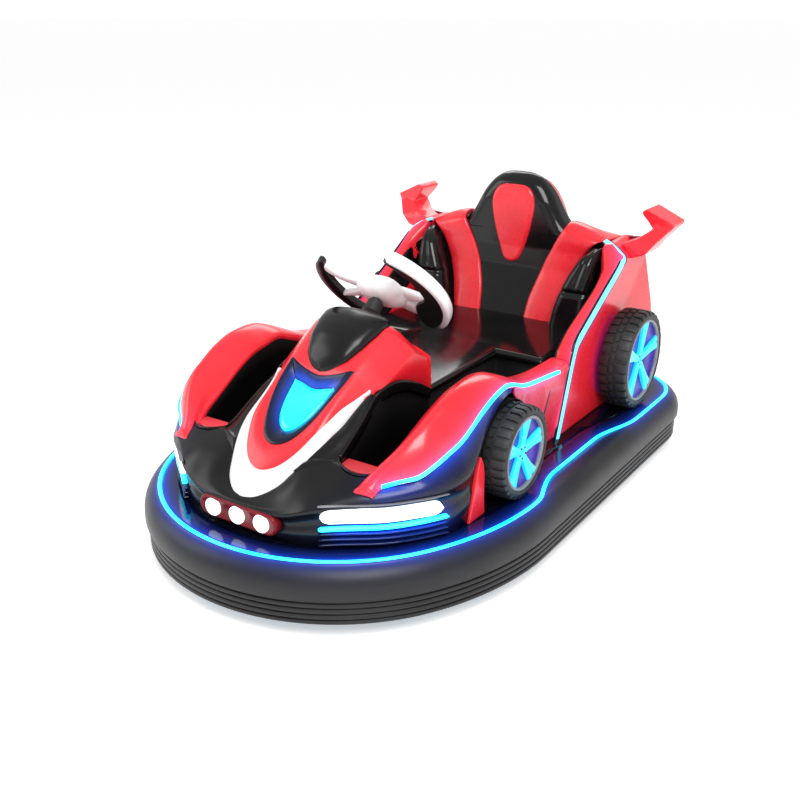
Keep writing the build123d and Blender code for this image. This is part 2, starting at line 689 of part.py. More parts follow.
with BuildPart() as side_body:
    add(quarter_block(0))
    with BuildPart(mode=Mode.PRIVATE) as quarter_void:
        add(quarter_block(WALL))
        add(box(PILLAR_IN + WALL, QUARTER_X - WALL, SILL_Y + 1 + WALL, 792 - WALL,
                DECK_TOP - 1, DECK_TOP + 2 * WALL))
    add(quarter_void.part, mode=Mode.SUBTRACT)
    add(deck_prism(BODY_LIMIT, 0, ALL_Z), mode=Mode.INTERSECT)
save_pair(side_body, "side_body")

# the quarter's line of light: up its side as (y, z), then over the slope's edge and across it
SIDE_LIGHT = [(122, DECK_TOP), (213, 452), (224, 461), (540, 651), (546, 641), (229, 450),
              (134, DECK_TOP)]
TURN_LIGHT = [(540, 650), (546, 641), (553, 659.8), (551.5, 662.4), (539.5, 655.2)]
TOP_LIGHT = [(541, 652.6), (553, 659.8), (551.5, 662.4), (539.5, 655.2)]
with BuildPart() as side_lights:
    add(prism_x(SIDE_LIGHT, QUARTER_X, QUARTER_X + LIGHT_PROUD))
    add(prism_x(TURN_LIGHT, QUARTER_X, QUARTER_X + LIGHT_PROUD))
    add(prism_x(TOP_LIGHT, PILLAR_IN, QUARTER_X + LIGHT_PROUD))
    mirror(about=Plane.YZ)
save(side_lights.part, "side_lights")

REAR_FACE = 655.0           # the backrest's rearmost plane
TAIL_Y = 920.0              # behind the tail's foot, which follows the deck's outline
REAR_ROOF = [(REAR_FACE, 690), (741, 628), (840, 548), (TAIL_Y, 470), (TAIL_Y, DECK_TOP),
             (REAR_FACE, DECK_TOP)]
FAIRING = [(REAR_FACE, 858), (690, 838), (735, 760), (770, 690), (840, 548), (REAR_FACE, 548)]
FAIRING_HALF = [(0, 862), (70, 846), (112, 790), (138, 700), (150, 500)]
with BuildPart() as rear_cover:
    add(prism_x(REAR_ROOF, -PILLAR_IN, PILLAR_IN))
    with BuildPart(mode=Mode.PRIVATE) as fairing:
        add(prism_x(FAIRING, -PILLAR_IN, PILLAR_IN))
        add(prism_y(both(FAIRING_HALF), 0, TAIL_Y), mode=Mode.INTERSECT)
    add(fairing.part)
    add(deck_prism(BODY_LIMIT, 0, ALL_Z), mode=Mode.INTERSECT)
    with BuildPart(mode=Mode.PRIVATE) as rear_void:
        add(prism_x([(y - 2 * WALL, z - WALL - 2) for y, z in REAR_ROOF], WALL - PILLAR_IN,
                    PILLAR_IN - WALL))
        with BuildPart(mode=Mode.PRIVATE) as fairing_void:
            add(prism_x([(y - 2 * WALL, z - WALL) for y, z in FAIRING], -PILLAR_IN, PILLAR_IN))
            add(prism_y([(x * 0.92, z - WALL) for x, z in both(FAIRING_HALF)], 0, TAIL_Y),
                mode=Mode.INTERSECT)
        add(fairing_void.part)
        add(deck_prism(BODY_LIMIT - WALL, 0, ALL_Z), mode=Mode.INTERSECT)
    add(rear_void.part, mode=Mode.SUBTRACT)
save(rear_cover.part, "rear_cover")

TAIL_LAMP_Z = 300.0
TAIL_LAMP_HEIGHT = 40.0
with BuildPart() as tail_lamps:
    add(deck_prism(BODY_LIMIT + LIGHT_PROUD, TAIL_LAMP_Z, TAIL_LAMP_Z + TAIL_LAMP_HEIGHT))
    add(deck_prism(BODY_LIMIT, 0, ALL_Z), mode=Mode.SUBTRACT)
    add(box(110, 290, REAR_FACE, TAIL_Y, 0, ALL_Z), mode=Mode.INTERSECT)
    mirror(about=Plane.YZ)
save(tail_lamps.part, "tail_lamps")

# the left fin from the front, as (x, z), and from the side, as (y, z)
WING = [(372, 655), (399, 622), (444, 656), (513, 742), (513, 752), (424, 793), (409, 781),
        (414, 770), (447, 731), (408, 700), (372, 688)]
WING_SIDE = [(596, 600), (724, 600), (724, 650), (694, 738), (742, 772), (742, 800), (630, 800),
             (646, 738), (596, 688)]
with BuildPart() as wing:
    add(prism_y(WING, 596, 742))
    add(prism_x(WING_SIDE, PILLAR_IN, HALF_WIDTH), mode=Mode.INTERSECT)
    add(quarter_block(0), mode=Mode.SUBTRACT)
save_pair(wing, "wing")

# ---------------------------------------------------------------- seat
BENCH_BACK = REAR_FACE - 10
SADDLE_FRONT = NOSE[-1][0]
BACK_FOOT = SEAT_TOP - BACK_STEP


def seat_box(half, front, back):
    """Hollow box under a slab with a lip, open at the deck, between two planes of y."""
    low = SEAT_TOP - SEAT_LIP
    inner = half - SEAT_OVERHANG
    with BuildPart() as seat:
        add(box(-half, half, front, back, low, SEAT_TOP))
        add(box(-inner, inner, front + SEAT_OVERHANG, back, DECK_TOP, low))
        add(box(WALL - inner, inner - WALL, front + SEAT_OVERHANG + WALL, back - WALL, DECK_TOP,
                SEAT_TOP - WALL), mode=Mode.SUBTRACT)
    return seat.part


with BuildPart() as seat_bench:
    add(seat_box(PILLAR_IN, SEAT_FRONT, BENCH_BACK))
    add(box(-HALF_WIDTH, HALF_WIDTH, SEAT_REAR, REAR_FACE, BACK_FOOT, ALL_Z), mode=Mode.SUBTRACT)
    add(box(-PILLAR_IN, PILLAR_IN, SEAT_REAR - WALL, SEAT_REAR, SEAT_TOP - SEAT_LIP, BACK_FOOT))
    add(box(-PILLAR_IN, PILLAR_IN, SEAT_REAR, BENCH_BACK, SEAT_TOP - SEAT_LIP, BACK_FOOT))
save(seat_bench.part, "seat_bench")

with BuildPart() as seat_saddle:
    add(seat_box(TUNNEL_HALF, SADDLE_FRONT, SEAT_FRONT))
save(seat_saddle.part, "seat_saddle")

# the backrest's side section as (y, z), front face first, then its back
BACK_FACE = [(494, BACK_FOOT), (556, 587), (552, 790), (562, 862)]
BACK_REAR = [(590, 878), (636, 862), (REAR_FACE - CLEAR, 700), (REAR_FACE - CLEAR, 640),
             (600, BACK_FOOT)]
# the backrest and what lies on it, from the front, as (x, z) of the left side
BACK_FRONT = [(0, 878), (60, 872), (104, 838), (140, 782), (166, 735), (206, 702), (293, 684),
              (PILLAR_IN, 640), (PILLAR_IN, BACK_FOOT)]
STRAP = [(82, BACK_FOOT), (182, BACK_FOOT), (200, 485), (215, 534), (237, 589), (263, 647), (293, 684),
         (206, 702), (180, 712), (148, 650), (125, 600), (105, 540), (90, 485)]
INSERT = [(0, 587), (24, 592), (52, 650), (77, 770), (66, 826), (34, 841), (0, 842)]
BOLSTER = [(190, BACK_FOOT), (PILLAR_IN, BACK_FOOT), (PILLAR_IN, 666), (296, 672), (262, 640),
           (237, 589), (215, 534), (200, 485)]
BOLSTER_SIDE = [(438, BACK_FOOT), (450, 540), (478, 630), (516, 668), (556, 676)]
STRAP_THICK = 9.0
INSERT_THICK = 5.0


def before_backrest(front_points, thick):
    """Slab of that thickness on the backrest's front face, in the outline of (x, z) points."""
    with BuildPart() as slab:
        add(prism_x([(y - thick, z) for y, z in BACK_FACE] + BACK_FACE[::-1], -PILLAR_IN, PILLAR_IN))
        add(prism_y(front_points, 0, REAR_FACE), mode=Mode.INTERSECT)
    return slab.part


with BuildPart() as backrest:
    add(prism_x(BACK_FACE + BACK_REAR, -PILLAR_IN, PILLAR_IN))
    add(prism_y(both(BACK_FRONT), 0, TAIL_Y), mode=Mode.INTERSECT)
save(backrest.part, "backrest")

with BuildPart() as seat_straps:
    add(before_backrest(STRAP, STRAP_THICK))
    mirror(about=Plane.YZ)
save(seat_straps.part, "seat_straps")

with BuildPart() as headrest_insert:
    add(before_backrest(both(INSERT), INSERT_THICK))
save(headrest_insert.part, "headrest_insert")

with BuildPart() as seat_bolsters:
    add(prism_x(BOLSTER_SIDE + BACK_FACE[1::-1], -PILLAR_IN, PILLAR_IN))
    add(prism_y(BOLSTER, 0, REAR_FACE), mode=Mode.INTERSECT)
    add(backrest.part, mode=Mode.SUBTRACT)
    mirror(about=Plane.YZ)
    add(seat_straps.part, mode=Mode.SUBTRACT)
save(seat_bolsters.part, "seat_bolsters")

# ---------------------------------------------------------------- steering
BRIDGE_FRONT = WHEEL_STEER_Y - DRIVE_WELL - 26
BRIDGE_REAR = WHEEL_STEER_Y + DRIVE_WELL + 26
with BuildPart() as steering_bridge:
    add(box(-BRIDGE_HALF, BRIDGE_HALF, BRIDGE_FRONT, BRIDGE_REAR, DECK_TOP, GEARBOX_BOTTOM))
    add(box(-BRIDGE_HALF, BRIDGE_HALF, BRIDGE_FRONT + WALL, BRIDGE_REAR - WALL, DECK_TOP,
            GEARBOX_BOTTOM - WALL), mode=Mode.SUBTRACT)
    add(disc_z(0, WHEEL_STEER_Y, KINGPIN + SIDE_CLEAR, 200, 300), mode=Mode.SUBTRACT)
save(steering_bridge.part, "steering_bridge")

with BuildPart() as steering_gearbox:
    add(box(-45, 45, WHEEL_STEER_Y - 50, WHEEL_STEER_Y + 50, GEARBOX_BOTTOM, GEARBOX_TOP))
    add(disc_z(0, WHEEL_STEER_Y, KINGPIN, GEARBOX_BOTTOM, GEARBOX_BOTTOM + 50), mode=Mode.SUBTRACT)
save(steering_gearbox.part, "steering_gearbox")

with BuildPart() as steering_column:
    with BuildSketch(steering_plane(COLUMN_TOP)):
        Circle(COLUMN_RADIUS)
    extrude(amount=COLUMN_TOP - COLUMN_END)
    with BuildSketch(steering_plane(COLUMN_TOP)):
        Circle(SHAFT)
    extrude(amount=-SHAFT_DEPTH, mode=Mode.SUBTRACT)
    add(steering_gearbox.part, mode=Mode.SUBTRACT)
save(steering_column.part, "steering_column")

# pieces of the steering wheel's rim: first angle, last angle, inner radius, outer radius,
# height behind and before the middle plane
RIM_WHITE = (-50, 60, 184, RIM_RADIUS, -22, 16)
RIM_BLACK = [(-46, 64, 160, 184, -20, 8), (120, 216, 170, RIM_RADIUS, -22, 12)]
# spokes: angle, outer end, half width
SPOKES_WHEEL = [(16, 170, 11), (42, 170, 13), (201, 176, 12), (158, 176, 13)]
SPOKE_THICK = 12.0
HUB_DISC = 56.0
HUB_LOW = 34.0
HUB_HIGH = 4.0


def rim_piece(first, last, inner, outer, low, high):
    """Part of the steering wheel's rim between two angles, with its edges rounded."""
    with BuildPart() as piece:
        with BuildSketch(steering_plane(-low)):
            Circle(outer)
            Circle(inner, mode=Mode.SUBTRACT)
        extrude(amount=high - low)
        with BuildSketch(steering_plane(-low)):
            with BuildLine():
                far = 2 * outer
                ends = [(far * math.cos(math.radians(a)), far * math.sin(math.radians(a)))
                        for a in (first, (first + last) / 2, last)]
                Polyline((0, 0), *ends, close=True)
            make_face()
        extrude(amount=high - low, mode=Mode.INTERSECT)
        fillet(piece.edges().filter_by(GeomType.CIRCLE), radius=7)
    return piece.part


with BuildPart() as steering_wheel:
    with BuildSketch(steering_plane(HUB_LOW)):
        Circle(HUB_DISC)
    extrude(amount=HUB_LOW + HUB_HIGH)
    with BuildSketch(steering_plane(HUB_LOW)):
        Circle(SHAFT - RUN_CLEAR)
    extrude(amount=-(COLUMN_TOP + SHAFT_DEPTH - HUB_LOW - SIDE_CLEAR))
    add(rim_piece(*RIM_WHITE))
    for angle, reach, half in SPOKES_WHEEL:
        with BuildSketch(steering_plane(SPOKE_THICK)):
            with Locations(Rotation(0, 0, angle)):
                with Locations(((reach + HUB_DISC) / 2 - 6, 0)):
                    Rectangle(reach - HUB_DISC + 12, 2 * half)
        extrude(amount=SPOKE_THICK)
save(steering_wheel.part, "steering_wheel")

with BuildPart() as steering_grips:
    for row in RIM_BLACK:
        add(rim_piece(*row))
    add(steering_wheel.part, mode=Mode.SUBTRACT)
save(steering_grips.part, "steering_grips")

FORK_TOP = 222.0
FORK_HALF = DRIVE_WIDTH / 2 + SIDE_CLEAR
with BuildPart() as steer_fork:
    add(disc_z(0, WHEEL_STEER_Y, KINGPIN - RUN_CLEAR, FORK_TOP, GEARBOX_BOTTOM + 44))
    add(box(-FORK_HALF - 10, FORK_HALF + 10, WHEEL_STEER_Y - 32, WHEEL_STEER_Y + 32,
            FORK_TOP - 12, FORK_TOP))
    for side in (1, -1):
        x0, x1 = sorted((side * FORK_HALF, side * (FORK_HALF + 10)))
        add(box(x0, x1, WHEEL_STEER_Y - 32, WHEEL_STEER_Y + 32, DRIVE_RADIUS - 25, FORK_TOP))
    add(disc_x(WHEEL_STEER_Y, DRIVE_RADIUS, AXLE_RADIUS, -FORK_HALF - 10, FORK_HALF + 10))
save(steer_fork.part, "steer_fork")

with BuildPart() as drive_motor:
    add(box(-FORK_HALF - 72, -FORK_HALF - 10, WHEEL_STEER_Y - 45, WHEEL_STEER_Y + 45,
            DRIVE_RADIUS - 40, DRIVE_RADIUS + 70))
save(drive_motor.part, "drive_motor")

# wheels that carry the car: name, x, y, radius, width
RUNNING = [("drive", 0.0, WHEEL_STEER_Y, DRIVE_RADIUS, DRIVE_WIDTH),
           ("road_left", ROAD_X, ROAD_Y, ROAD_RADIUS, ROAD_WIDTH),
           ("road_right", -ROAD_X, ROAD_Y, ROAD_RADIUS, ROAD_WIDTH)]
for name, x, y, radius, width in RUNNING:
    rim_radius = radius * 0.62
    with BuildPart() as tyre:
        add(disc_x(y, radius, radius, x - width / 2, x + width / 2))
        chamfer(tyre.edges().filter_by(GeomType.CIRCLE), length=5)
        add(disc_x(y, radius, rim_radius, x - width, x + width), mode=Mode.SUBTRACT)
    save(tyre.part, f"{name}_tyre")
    with BuildPart() as hub:
        add(disc_x(y, radius, rim_radius, x - width / 2, x + width / 2))
        add(disc_x(y, radius, AXLE_RADIUS + RUN_CLEAR, x - width, x + width), mode=Mode.SUBTRACT)
    save(hub.part, f"{name}_hub")
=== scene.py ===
"""Battery bumper car with a racing-car body: its looks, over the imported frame.

Tables are in millimetres in the frame's own axes: the nose towards -Y, the car's left
towards +X, +Z up from the ground. Meshes are made in metres.
"""

import json
import math

import bmesh
import bpy
import numpy as np
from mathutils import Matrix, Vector

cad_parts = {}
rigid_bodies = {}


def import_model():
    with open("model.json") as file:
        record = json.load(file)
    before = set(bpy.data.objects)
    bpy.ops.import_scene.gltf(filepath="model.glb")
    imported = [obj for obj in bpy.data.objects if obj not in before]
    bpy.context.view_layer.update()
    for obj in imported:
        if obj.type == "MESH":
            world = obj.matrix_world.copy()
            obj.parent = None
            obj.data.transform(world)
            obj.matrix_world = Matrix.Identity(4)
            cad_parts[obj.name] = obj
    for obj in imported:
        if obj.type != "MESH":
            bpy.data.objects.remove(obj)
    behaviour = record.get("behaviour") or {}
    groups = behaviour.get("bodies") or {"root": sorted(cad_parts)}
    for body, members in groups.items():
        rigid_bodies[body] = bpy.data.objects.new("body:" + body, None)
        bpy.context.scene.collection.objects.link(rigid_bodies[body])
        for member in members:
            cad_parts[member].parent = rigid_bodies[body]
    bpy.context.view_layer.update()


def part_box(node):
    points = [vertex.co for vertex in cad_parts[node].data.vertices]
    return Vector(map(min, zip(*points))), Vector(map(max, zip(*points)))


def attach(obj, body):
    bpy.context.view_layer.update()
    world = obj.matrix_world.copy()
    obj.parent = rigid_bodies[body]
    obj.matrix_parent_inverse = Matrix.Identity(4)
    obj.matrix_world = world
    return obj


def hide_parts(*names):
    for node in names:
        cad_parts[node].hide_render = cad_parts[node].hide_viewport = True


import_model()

MM = 0.001
BODY = "body"


def span(node):
    """Lowest and highest corner of a CAD node, in millimetres."""
    low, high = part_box(node)
    return np.array(low) / MM, np.array(high) / MM


# ---------------------------------------------------------------- sizes read from the frame
RING_LOW, RING_HIGH = span("bumper_ring")
HALF_WIDTH = RING_HIGH[0]
NOSE_Y = RING_LOW[1]
RING_BOTTOM = RING_LOW[2]
DECK_TOP = span("deck_plate")[1][2]
BENCH_LOW, BENCH_HIGH = span("seat_bench")
SADDLE_LOW, SADDLE_HIGH = span("seat_saddle")
SEAT_TOP = BENCH_HIGH[2]
PILLAR_IN = BENCH_HIGH[0]
LIGHT_PROUD = 3.0
QUARTER_X = span("side_lights")[1][0] - LIGHT_PROUD
DASH_Y = span("cowl_panel")[1][1]
NOSE_END_Y = span("nose_shell")[1][1]


# ---------------------------------------------------------------- points and curves
def unit(vectors):
    """Vectors of length one."""
    vectors = np.asarray(vectors, float)
    return vectors / np.linalg.norm(vectors, axis=-1, keepdims=True)


def around(count):
    """Angles of equal steps round a full turn."""
    return np.linspace(0, 2 * math.pi, count + 1)[:-1]


def oval(count, power=1.0):
    """Cosine and sine of the angles round a turn, squared off by a power below 1."""
    return [(math.copysign(abs(c) ** power, c), math.copysign(abs(s) ** power, s))
            for c, s in ((math.cos(a), math.sin(a)) for a in around(count))]


def spline(points, per, closed=False):
    """Smooth curve through points, with that many samples to a stretch."""
    pts = np.asarray(points, float)
    n = len(pts)
    if closed:
        pts = np.vstack([pts[-1:], pts, pts[:2]])
    else:
        pts = np.vstack([2 * pts[0] - pts[1], pts, 2 * pts[-1] - pts[-2]])
    out = []
    for k in range(n if closed else n - 1):
        p0, p1, p2, p3 = pts[k:k + 4]
        d0, d1, d2 = (max(np.linalg.norm(b - a), 1e-6) ** 0.5
                      for a, b in ((p0, p1), (p1, p2), (p2, p3)))
        m1 = d1 * ((p1 - p0) / d0 - (p2 - p0) / (d0 + d1) + (p2 - p1) / d1)
        m2 = d1 * ((p2 - p1) / d1 - (p3 - p1) / (d1 + d2) + (p3 - p2) / d2)
        for t in np.arange(per) / per:
            out.append((2 * t ** 3 - 3 * t ** 2 + 1) * p1 + (t ** 3 - 2 * t ** 2 + t) * m1
                       + (3 * t ** 2 - 2 * t ** 3) * p2 + (t ** 3 - t ** 2) * m2)
    if not closed:
        out.append(pts[-2])
    return np.array(out)


def weave(rows, along, across):
    """Dense grid through a coarse one of rows of points."""
    grid = np.asarray(rows, float)
    count, columns = grid.shape[:2]
    dense = spline(grid.reshape(count, -1), along).reshape(-1, columns, 3) if along > 1 else grid
    return np.array([spline(row, across) for row in dense])


def at(y, table, first=0):
    """Value of a table of (place, value) rows at a place, or of (value, place) rows for first=1."""
    rows = sorted(table, key=lambda row: row[first])
    return float(np.interp(y, [row[first] for row in rows], [row[1 - first] for row in rows]))


def soft(y, ys, values, width=20.0):
    """Value at y of a table's straight stretches, with its corners rounded over width."""
    offsets = np.linspace(-width, width, 9)
    order = np.argsort(ys)
    return float(np.mean(np.interp(y + offsets, np.array(ys)[order], np.array(values)[order])))


def resample(points, count, closed=False):
    """Count points at equal steps along a polyline."""
    pts = np.asarray(points, float)
    if closed:
        pts = np.vstack([pts, pts[:1]])
    steps = np.r_[0, np.cumsum(np.linalg.norm(np.diff(pts, axis=0), axis=1))]
    places = np.linspace(0, steps[-1], count + 1)[:-1] if closed else np.linspace(0, steps[-1], count)
    return np.stack([np.interp(places, steps, pts[:, k]) for k in range(pts.shape[1])], axis=1)


def plan_normals(points, closed=False):
    """Normals in plan, to the right of the way along a rail or outwards from an anticlockwise loop."""
    points = np.asarray(points, float)[:, :2]
    ahead = np.roll(points, -1, axis=0) - np.roll(points, 1, axis=0) if closed else np.gradient(points, axis=0)
    return unit(ahead) @ [[0, -1], [1, 0]]


def way_on(points, k):
    """Direction along a polyline at its point k, not scaled."""
    return points[min(k + 1, len(points) - 1)] - points[max(k - 1, 0)]


def at_height(loop, z):
    """(x, y, z) points at one height from (x, y) points."""
    return np.column_stack([loop, np.full(len(loop), z)])


def flip_x(grid):
    """The same grid on the right side."""
    return np.asarray(grid) * np.array([-1.0, 1.0, 1.0])


def pair(*grids):
    """Each grid followed by its mirror image."""
    return [g for grid in grids for g in (np.asarray(grid), flip_x(grid))]


def mirrored(points):
    """The same points on the right side."""
    return [(-p[0],) + tuple(p[1:]) for p in points]


# ---------------------------------------------------------------- ring and deck in plan
NOSE_RADIUS = 548.0
NOSE_SPREAD = 60.0
REAR_CORNER_Y = 640.0
REAR_CORNER_RADIUS = 250.0
REAR_CORNER_SPREAD = 77.0
DECK_INSET = 44.0
# the deck edge's waist on the left side, as (y, x)
WAIST = [(-268, 590), (-215, 520), (-110, 490), (225, 490), (400, 540), (452, 590)]
EASE_REACH = 6
EASE_WIDTH = 2.6


def arc(cx, cy, radius, first, spread, count):
    """Points of an arc, without its last one."""
    angles = np.radians(first + spread * np.arange(count) / count)
    return np.stack([cx + radius * np.cos(angles), cy + radius * np.sin(angles)], axis=1)


def ring_outline(inset):
    """The ring's outline, moved in by inset, with samples at the same places for every inset."""
    spread = math.radians(NOSE_SPREAD)
    nose_cy = NOSE_Y + NOSE_RADIUS
    side_radius = (HALF_WIDTH - NOSE_RADIUS * math.sin(spread)) / (1 - math.sin(spread))
    side_cx = HALF_WIDTH - side_radius
    side_cy = nose_cy + (side_radius - NOSE_RADIUS) * math.cos(spread)
    corner = math.radians(REAR_CORNER_SPREAD)
    corner_cx = HALF_WIDTH - REAR_CORNER_RADIUS
    tail_radius = REAR_CORNER_RADIUS + corner_cx / math.cos(corner)
    tail_cy = REAR_CORNER_Y + (REAR_CORNER_RADIUS - tail_radius) * math.sin(corner)
    x = HALF_WIDTH - inset
    side = np.stack([np.full(90, x), np.linspace(side_cy, REAR_CORNER_Y, 91)[:-1]], axis=1)
    back = np.stack([np.full(90, -x), np.linspace(REAR_CORNER_Y, side_cy, 91)[:-1]], axis=1)
    small, large = side_radius - inset, REAR_CORNER_RADIUS - inset
    return np.vstack([
        arc(0, nose_cy, NOSE_RADIUS - inset, -90 - NOSE_SPREAD, 2 * NOSE_SPREAD, 100),
        arc(side_cx, side_cy, small, NOSE_SPREAD - 90, 90 - NOSE_SPREAD, 24),
        side,
        arc(corner_cx, REAR_CORNER_Y, large, 0, REAR_CORNER_SPREAD, 36),
        arc(0, tail_cy, tail_radius - inset, REAR_CORNER_SPREAD, 180 - 2 * REAR_CORNER_SPREAD, 30),
        arc(-corner_cx, REAR_CORNER_Y, large, 180 - REAR_CORNER_SPREAD, REAR_CORNER_SPREAD, 36),
        back,
        arc(-side_cx, side_cy, small, 180, 90 - NOSE_SPREAD, 24)])


def deck_outline():
    """Middle line of the light at the deck's edge, with the waist's bends eased."""
    loop = ring_outline(DECK_INSET)
    ys, xs = zip(*WAIST)
    edge = np.interp(loop[:, 1], ys, xs, left=HALF_WIDTH, right=HALF_WIDTH)
    loop[:, 0] = np.clip(loop[:, 0], -edge, edge)
    shifts = np.arange(-EASE_REACH, EASE_REACH + 1)
    weights = np.exp(-0.5 * (shifts / EASE_WIDTH) ** 2)
    return sum(w * np.roll(loop, k, axis=0) for k, w in zip(shifts, weights / weights.sum()))


OUTER_LOOP = ring_outline(0.0)
OUTER_NORMAL = plan_normals(OUTER_LOOP, closed=True)
DECK_LOOP = deck_outline()
DECK_NORMAL = plan_normals(DECK_LOOP, closed=True)

# ---------------------------------------------------------------- lines of light
# how far the pod's outer edge stands out from its table, and where along the car
EDGE_SHIFT = np.array([12.0, -23.0, 12.0])
SHIFT_AT = [(-700, 0.0), (-600, 0.5), (-550, 1.0), (-210, 1.0), (60, 0.0)]


def shifted(point, share=1.0):
    """Point of the pod's outer edge, moved out."""
    return tuple(np.asarray(point) + EDGE_SHIFT * share * at(point[1], SHIFT_AT))


STRIPE = [shifted(p) for p in (
    (324, -665, 334), (360, -625, 343), (386, -600, 349), (401, -550, 363), (410, -500, 379),
    (420, -462, 397), (424, -420, 421), (427, -390, 440), (429, -330, 466), (428, -264, 477),
    (421, -210, 464), (408, -112, 430), (402, 0, 413), (402, 108, 402))]
HEADLIGHT_PATH = [(262, -741, 240), (345, -676, 240), (436, -560, 240)]
# the quarter's line of light as (x, y, z): up its side, then across the shoulder
SIDE_LIGHT = [(QUARTER_X, 127, DECK_TOP), (QUARTER_X, 219, 448), (QUARTER_X, 232, 462),
              (QUARTER_X - 1, 380, 548), (QUARTER_X - 1, 528, 637), (QUARTER_X - 5, 545, 650),
              (QUARTER_X - 24, 550, 666), (348, 558, 682), (322, 566, 692)]
GLOW_REACH = 0.024
glow_lines = [resample(at_height(DECK_LOOP, DECK_TOP), 400, closed=True)]
glow_lines += [resample(spline(side, 8), 160) for line in (STRIPE, HEADLIGHT_PATH, SIDE_LIGHT)
               for side in (line, mirrored(line))]
# points that shed light, and how far it reaches, in metres
GLOW = (np.vstack(glow_lines) * MM, GLOW_REACH)


# ---------------------------------------------------------------- meshes
def show(obj, paint, replaces=(), body=BODY, thick=0.0, bevel=0.0, angle=32.0):
    """Puts a piece in the scene: wall, rounded edges, material, body and the CAD nodes it stands for."""
    if thick:
        wall = obj.modifiers.new("wall", "SOLIDIFY")
        wall.thickness = thick * MM
        wall.offset = -1.0
        wall.use_even_offset = False
    if bevel:
        edges = obj.modifiers.new("edges", "BEVEL")
        edges.width = bevel * MM
        edges.segments = 2
        edges.limit_method = "ANGLE"
        edges.angle_limit = math.radians(angle)
        edges.harden_normals = False
    bpy.context.scene.collection.objects.link(obj)
    obj.data.materials.append(paint)
    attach(obj, body)
    if replaces:
        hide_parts(*replaces)


def finished(bm, name, glow, smooth=True):
    """Object from a mesh in the making, with the light that falls on it, from 0 to 1, on its points."""
    mesh = bpy.data.meshes.new(name)
    bm.to_mesh(mesh)
    bm.free()
    for polygon in mesh.polygons:
        polygon.use_smooth = smooth
    if glow:
        lights, reach = glow
        pts = np.array([v.co[:] for v in mesh.vertices])
        near = np.full(len(pts), 1e9)
        for k in range(0, len(lights), 200):
            gap = np.linalg.norm(pts[:, None] - lights[None, k:k + 200], axis=2).min(axis=1)
            near = np.minimum(near, gap)
        values = mesh.attributes.new("glow", "FLOAT", "POINT")
        values.data.foreach_set("value", np.exp(-near / reach).astype(np.float32))
    return bpy.data.objects.new(name, mesh)


def from_data(name, verts, faces, smooth=True, glow=None):
    """Object from points in millimetres and faces, with merged points and outward normals."""
    bm = bmesh.new()
    made = [bm.verts.new(Vector(v) * MM) for v in np.asarray(verts, float)]
    for face in faces:
        if len(set(face)) > 2:
            try:
                bm.faces.new([made[k] for k in face])
            except ValueError:
                pass
    bmesh.ops.remove_doubles(bm, verts=bm.verts, dist=0.02 * MM)
    bmesh.ops.dissolve_degenerate(bm, edges=bm.edges, dist=0.01 * MM)
    bmesh.ops.recalc_face_normals(bm, faces=bm.faces)
    return finished(bm, name, glow, smooth)


def grid_faces(rows, columns, close_rows=False, close_columns=False):
    """Quads of a grid whose points run along the columns first."""
    faces = []
    for r in range(rows if close_rows else rows - 1):
        for c in range(columns if close_columns else columns - 1):
            r2, c2 = (r + 1) % rows, (c + 1) % columns
            faces.append((r * columns + c, r * columns + c2, r2 * columns + c2, r2 * columns + c))
    return faces


def ring_faces(rows, columns):
    """Quads of loops that close on each other."""
    return grid_faces(rows, columns, True, True)


def tube_faces(rows, columns):
    """Quads of closed sections, with the first and last one filled."""
    caps = [tuple(range(columns - 1, -1, -1)), tuple(range((rows - 1) * columns, rows * columns))]
    return grid_faces(rows, columns, close_columns=True) + caps


def gathered(*parts):
    """Points and faces of several lots of points together, each given with its faces."""
    verts, faces = [], []
    for points, own in parts:
        start = len(verts)
        verts.extend(np.reshape(points, (-1, 3)))
        faces.extend(tuple(start + k for k in face) for face in own)
    return verts, faces


def of_grids(name, grids, kind, **options):
    """One object from several grids of points, with the faces that a kind of grid has."""
    grids = [np.asarray(grid, float) for grid in grids]
    return from_data(name, *gathered(*((g, kind(*g.shape[:2])) for g in grids)), **options)


def sheets(name, grids, **options):
    """One object from several open grids."""
    return of_grids(name, grids, grid_faces, **options)


def tubes(name, grids, **options):
    """One object from several runs of closed sections."""
    return of_grids(name, grids, tube_faces, **options)


def rings(name, grids, **options):
    """One object from several forms whose loops close on each other."""
    return of_grids(name, grids, ring_faces, **options)


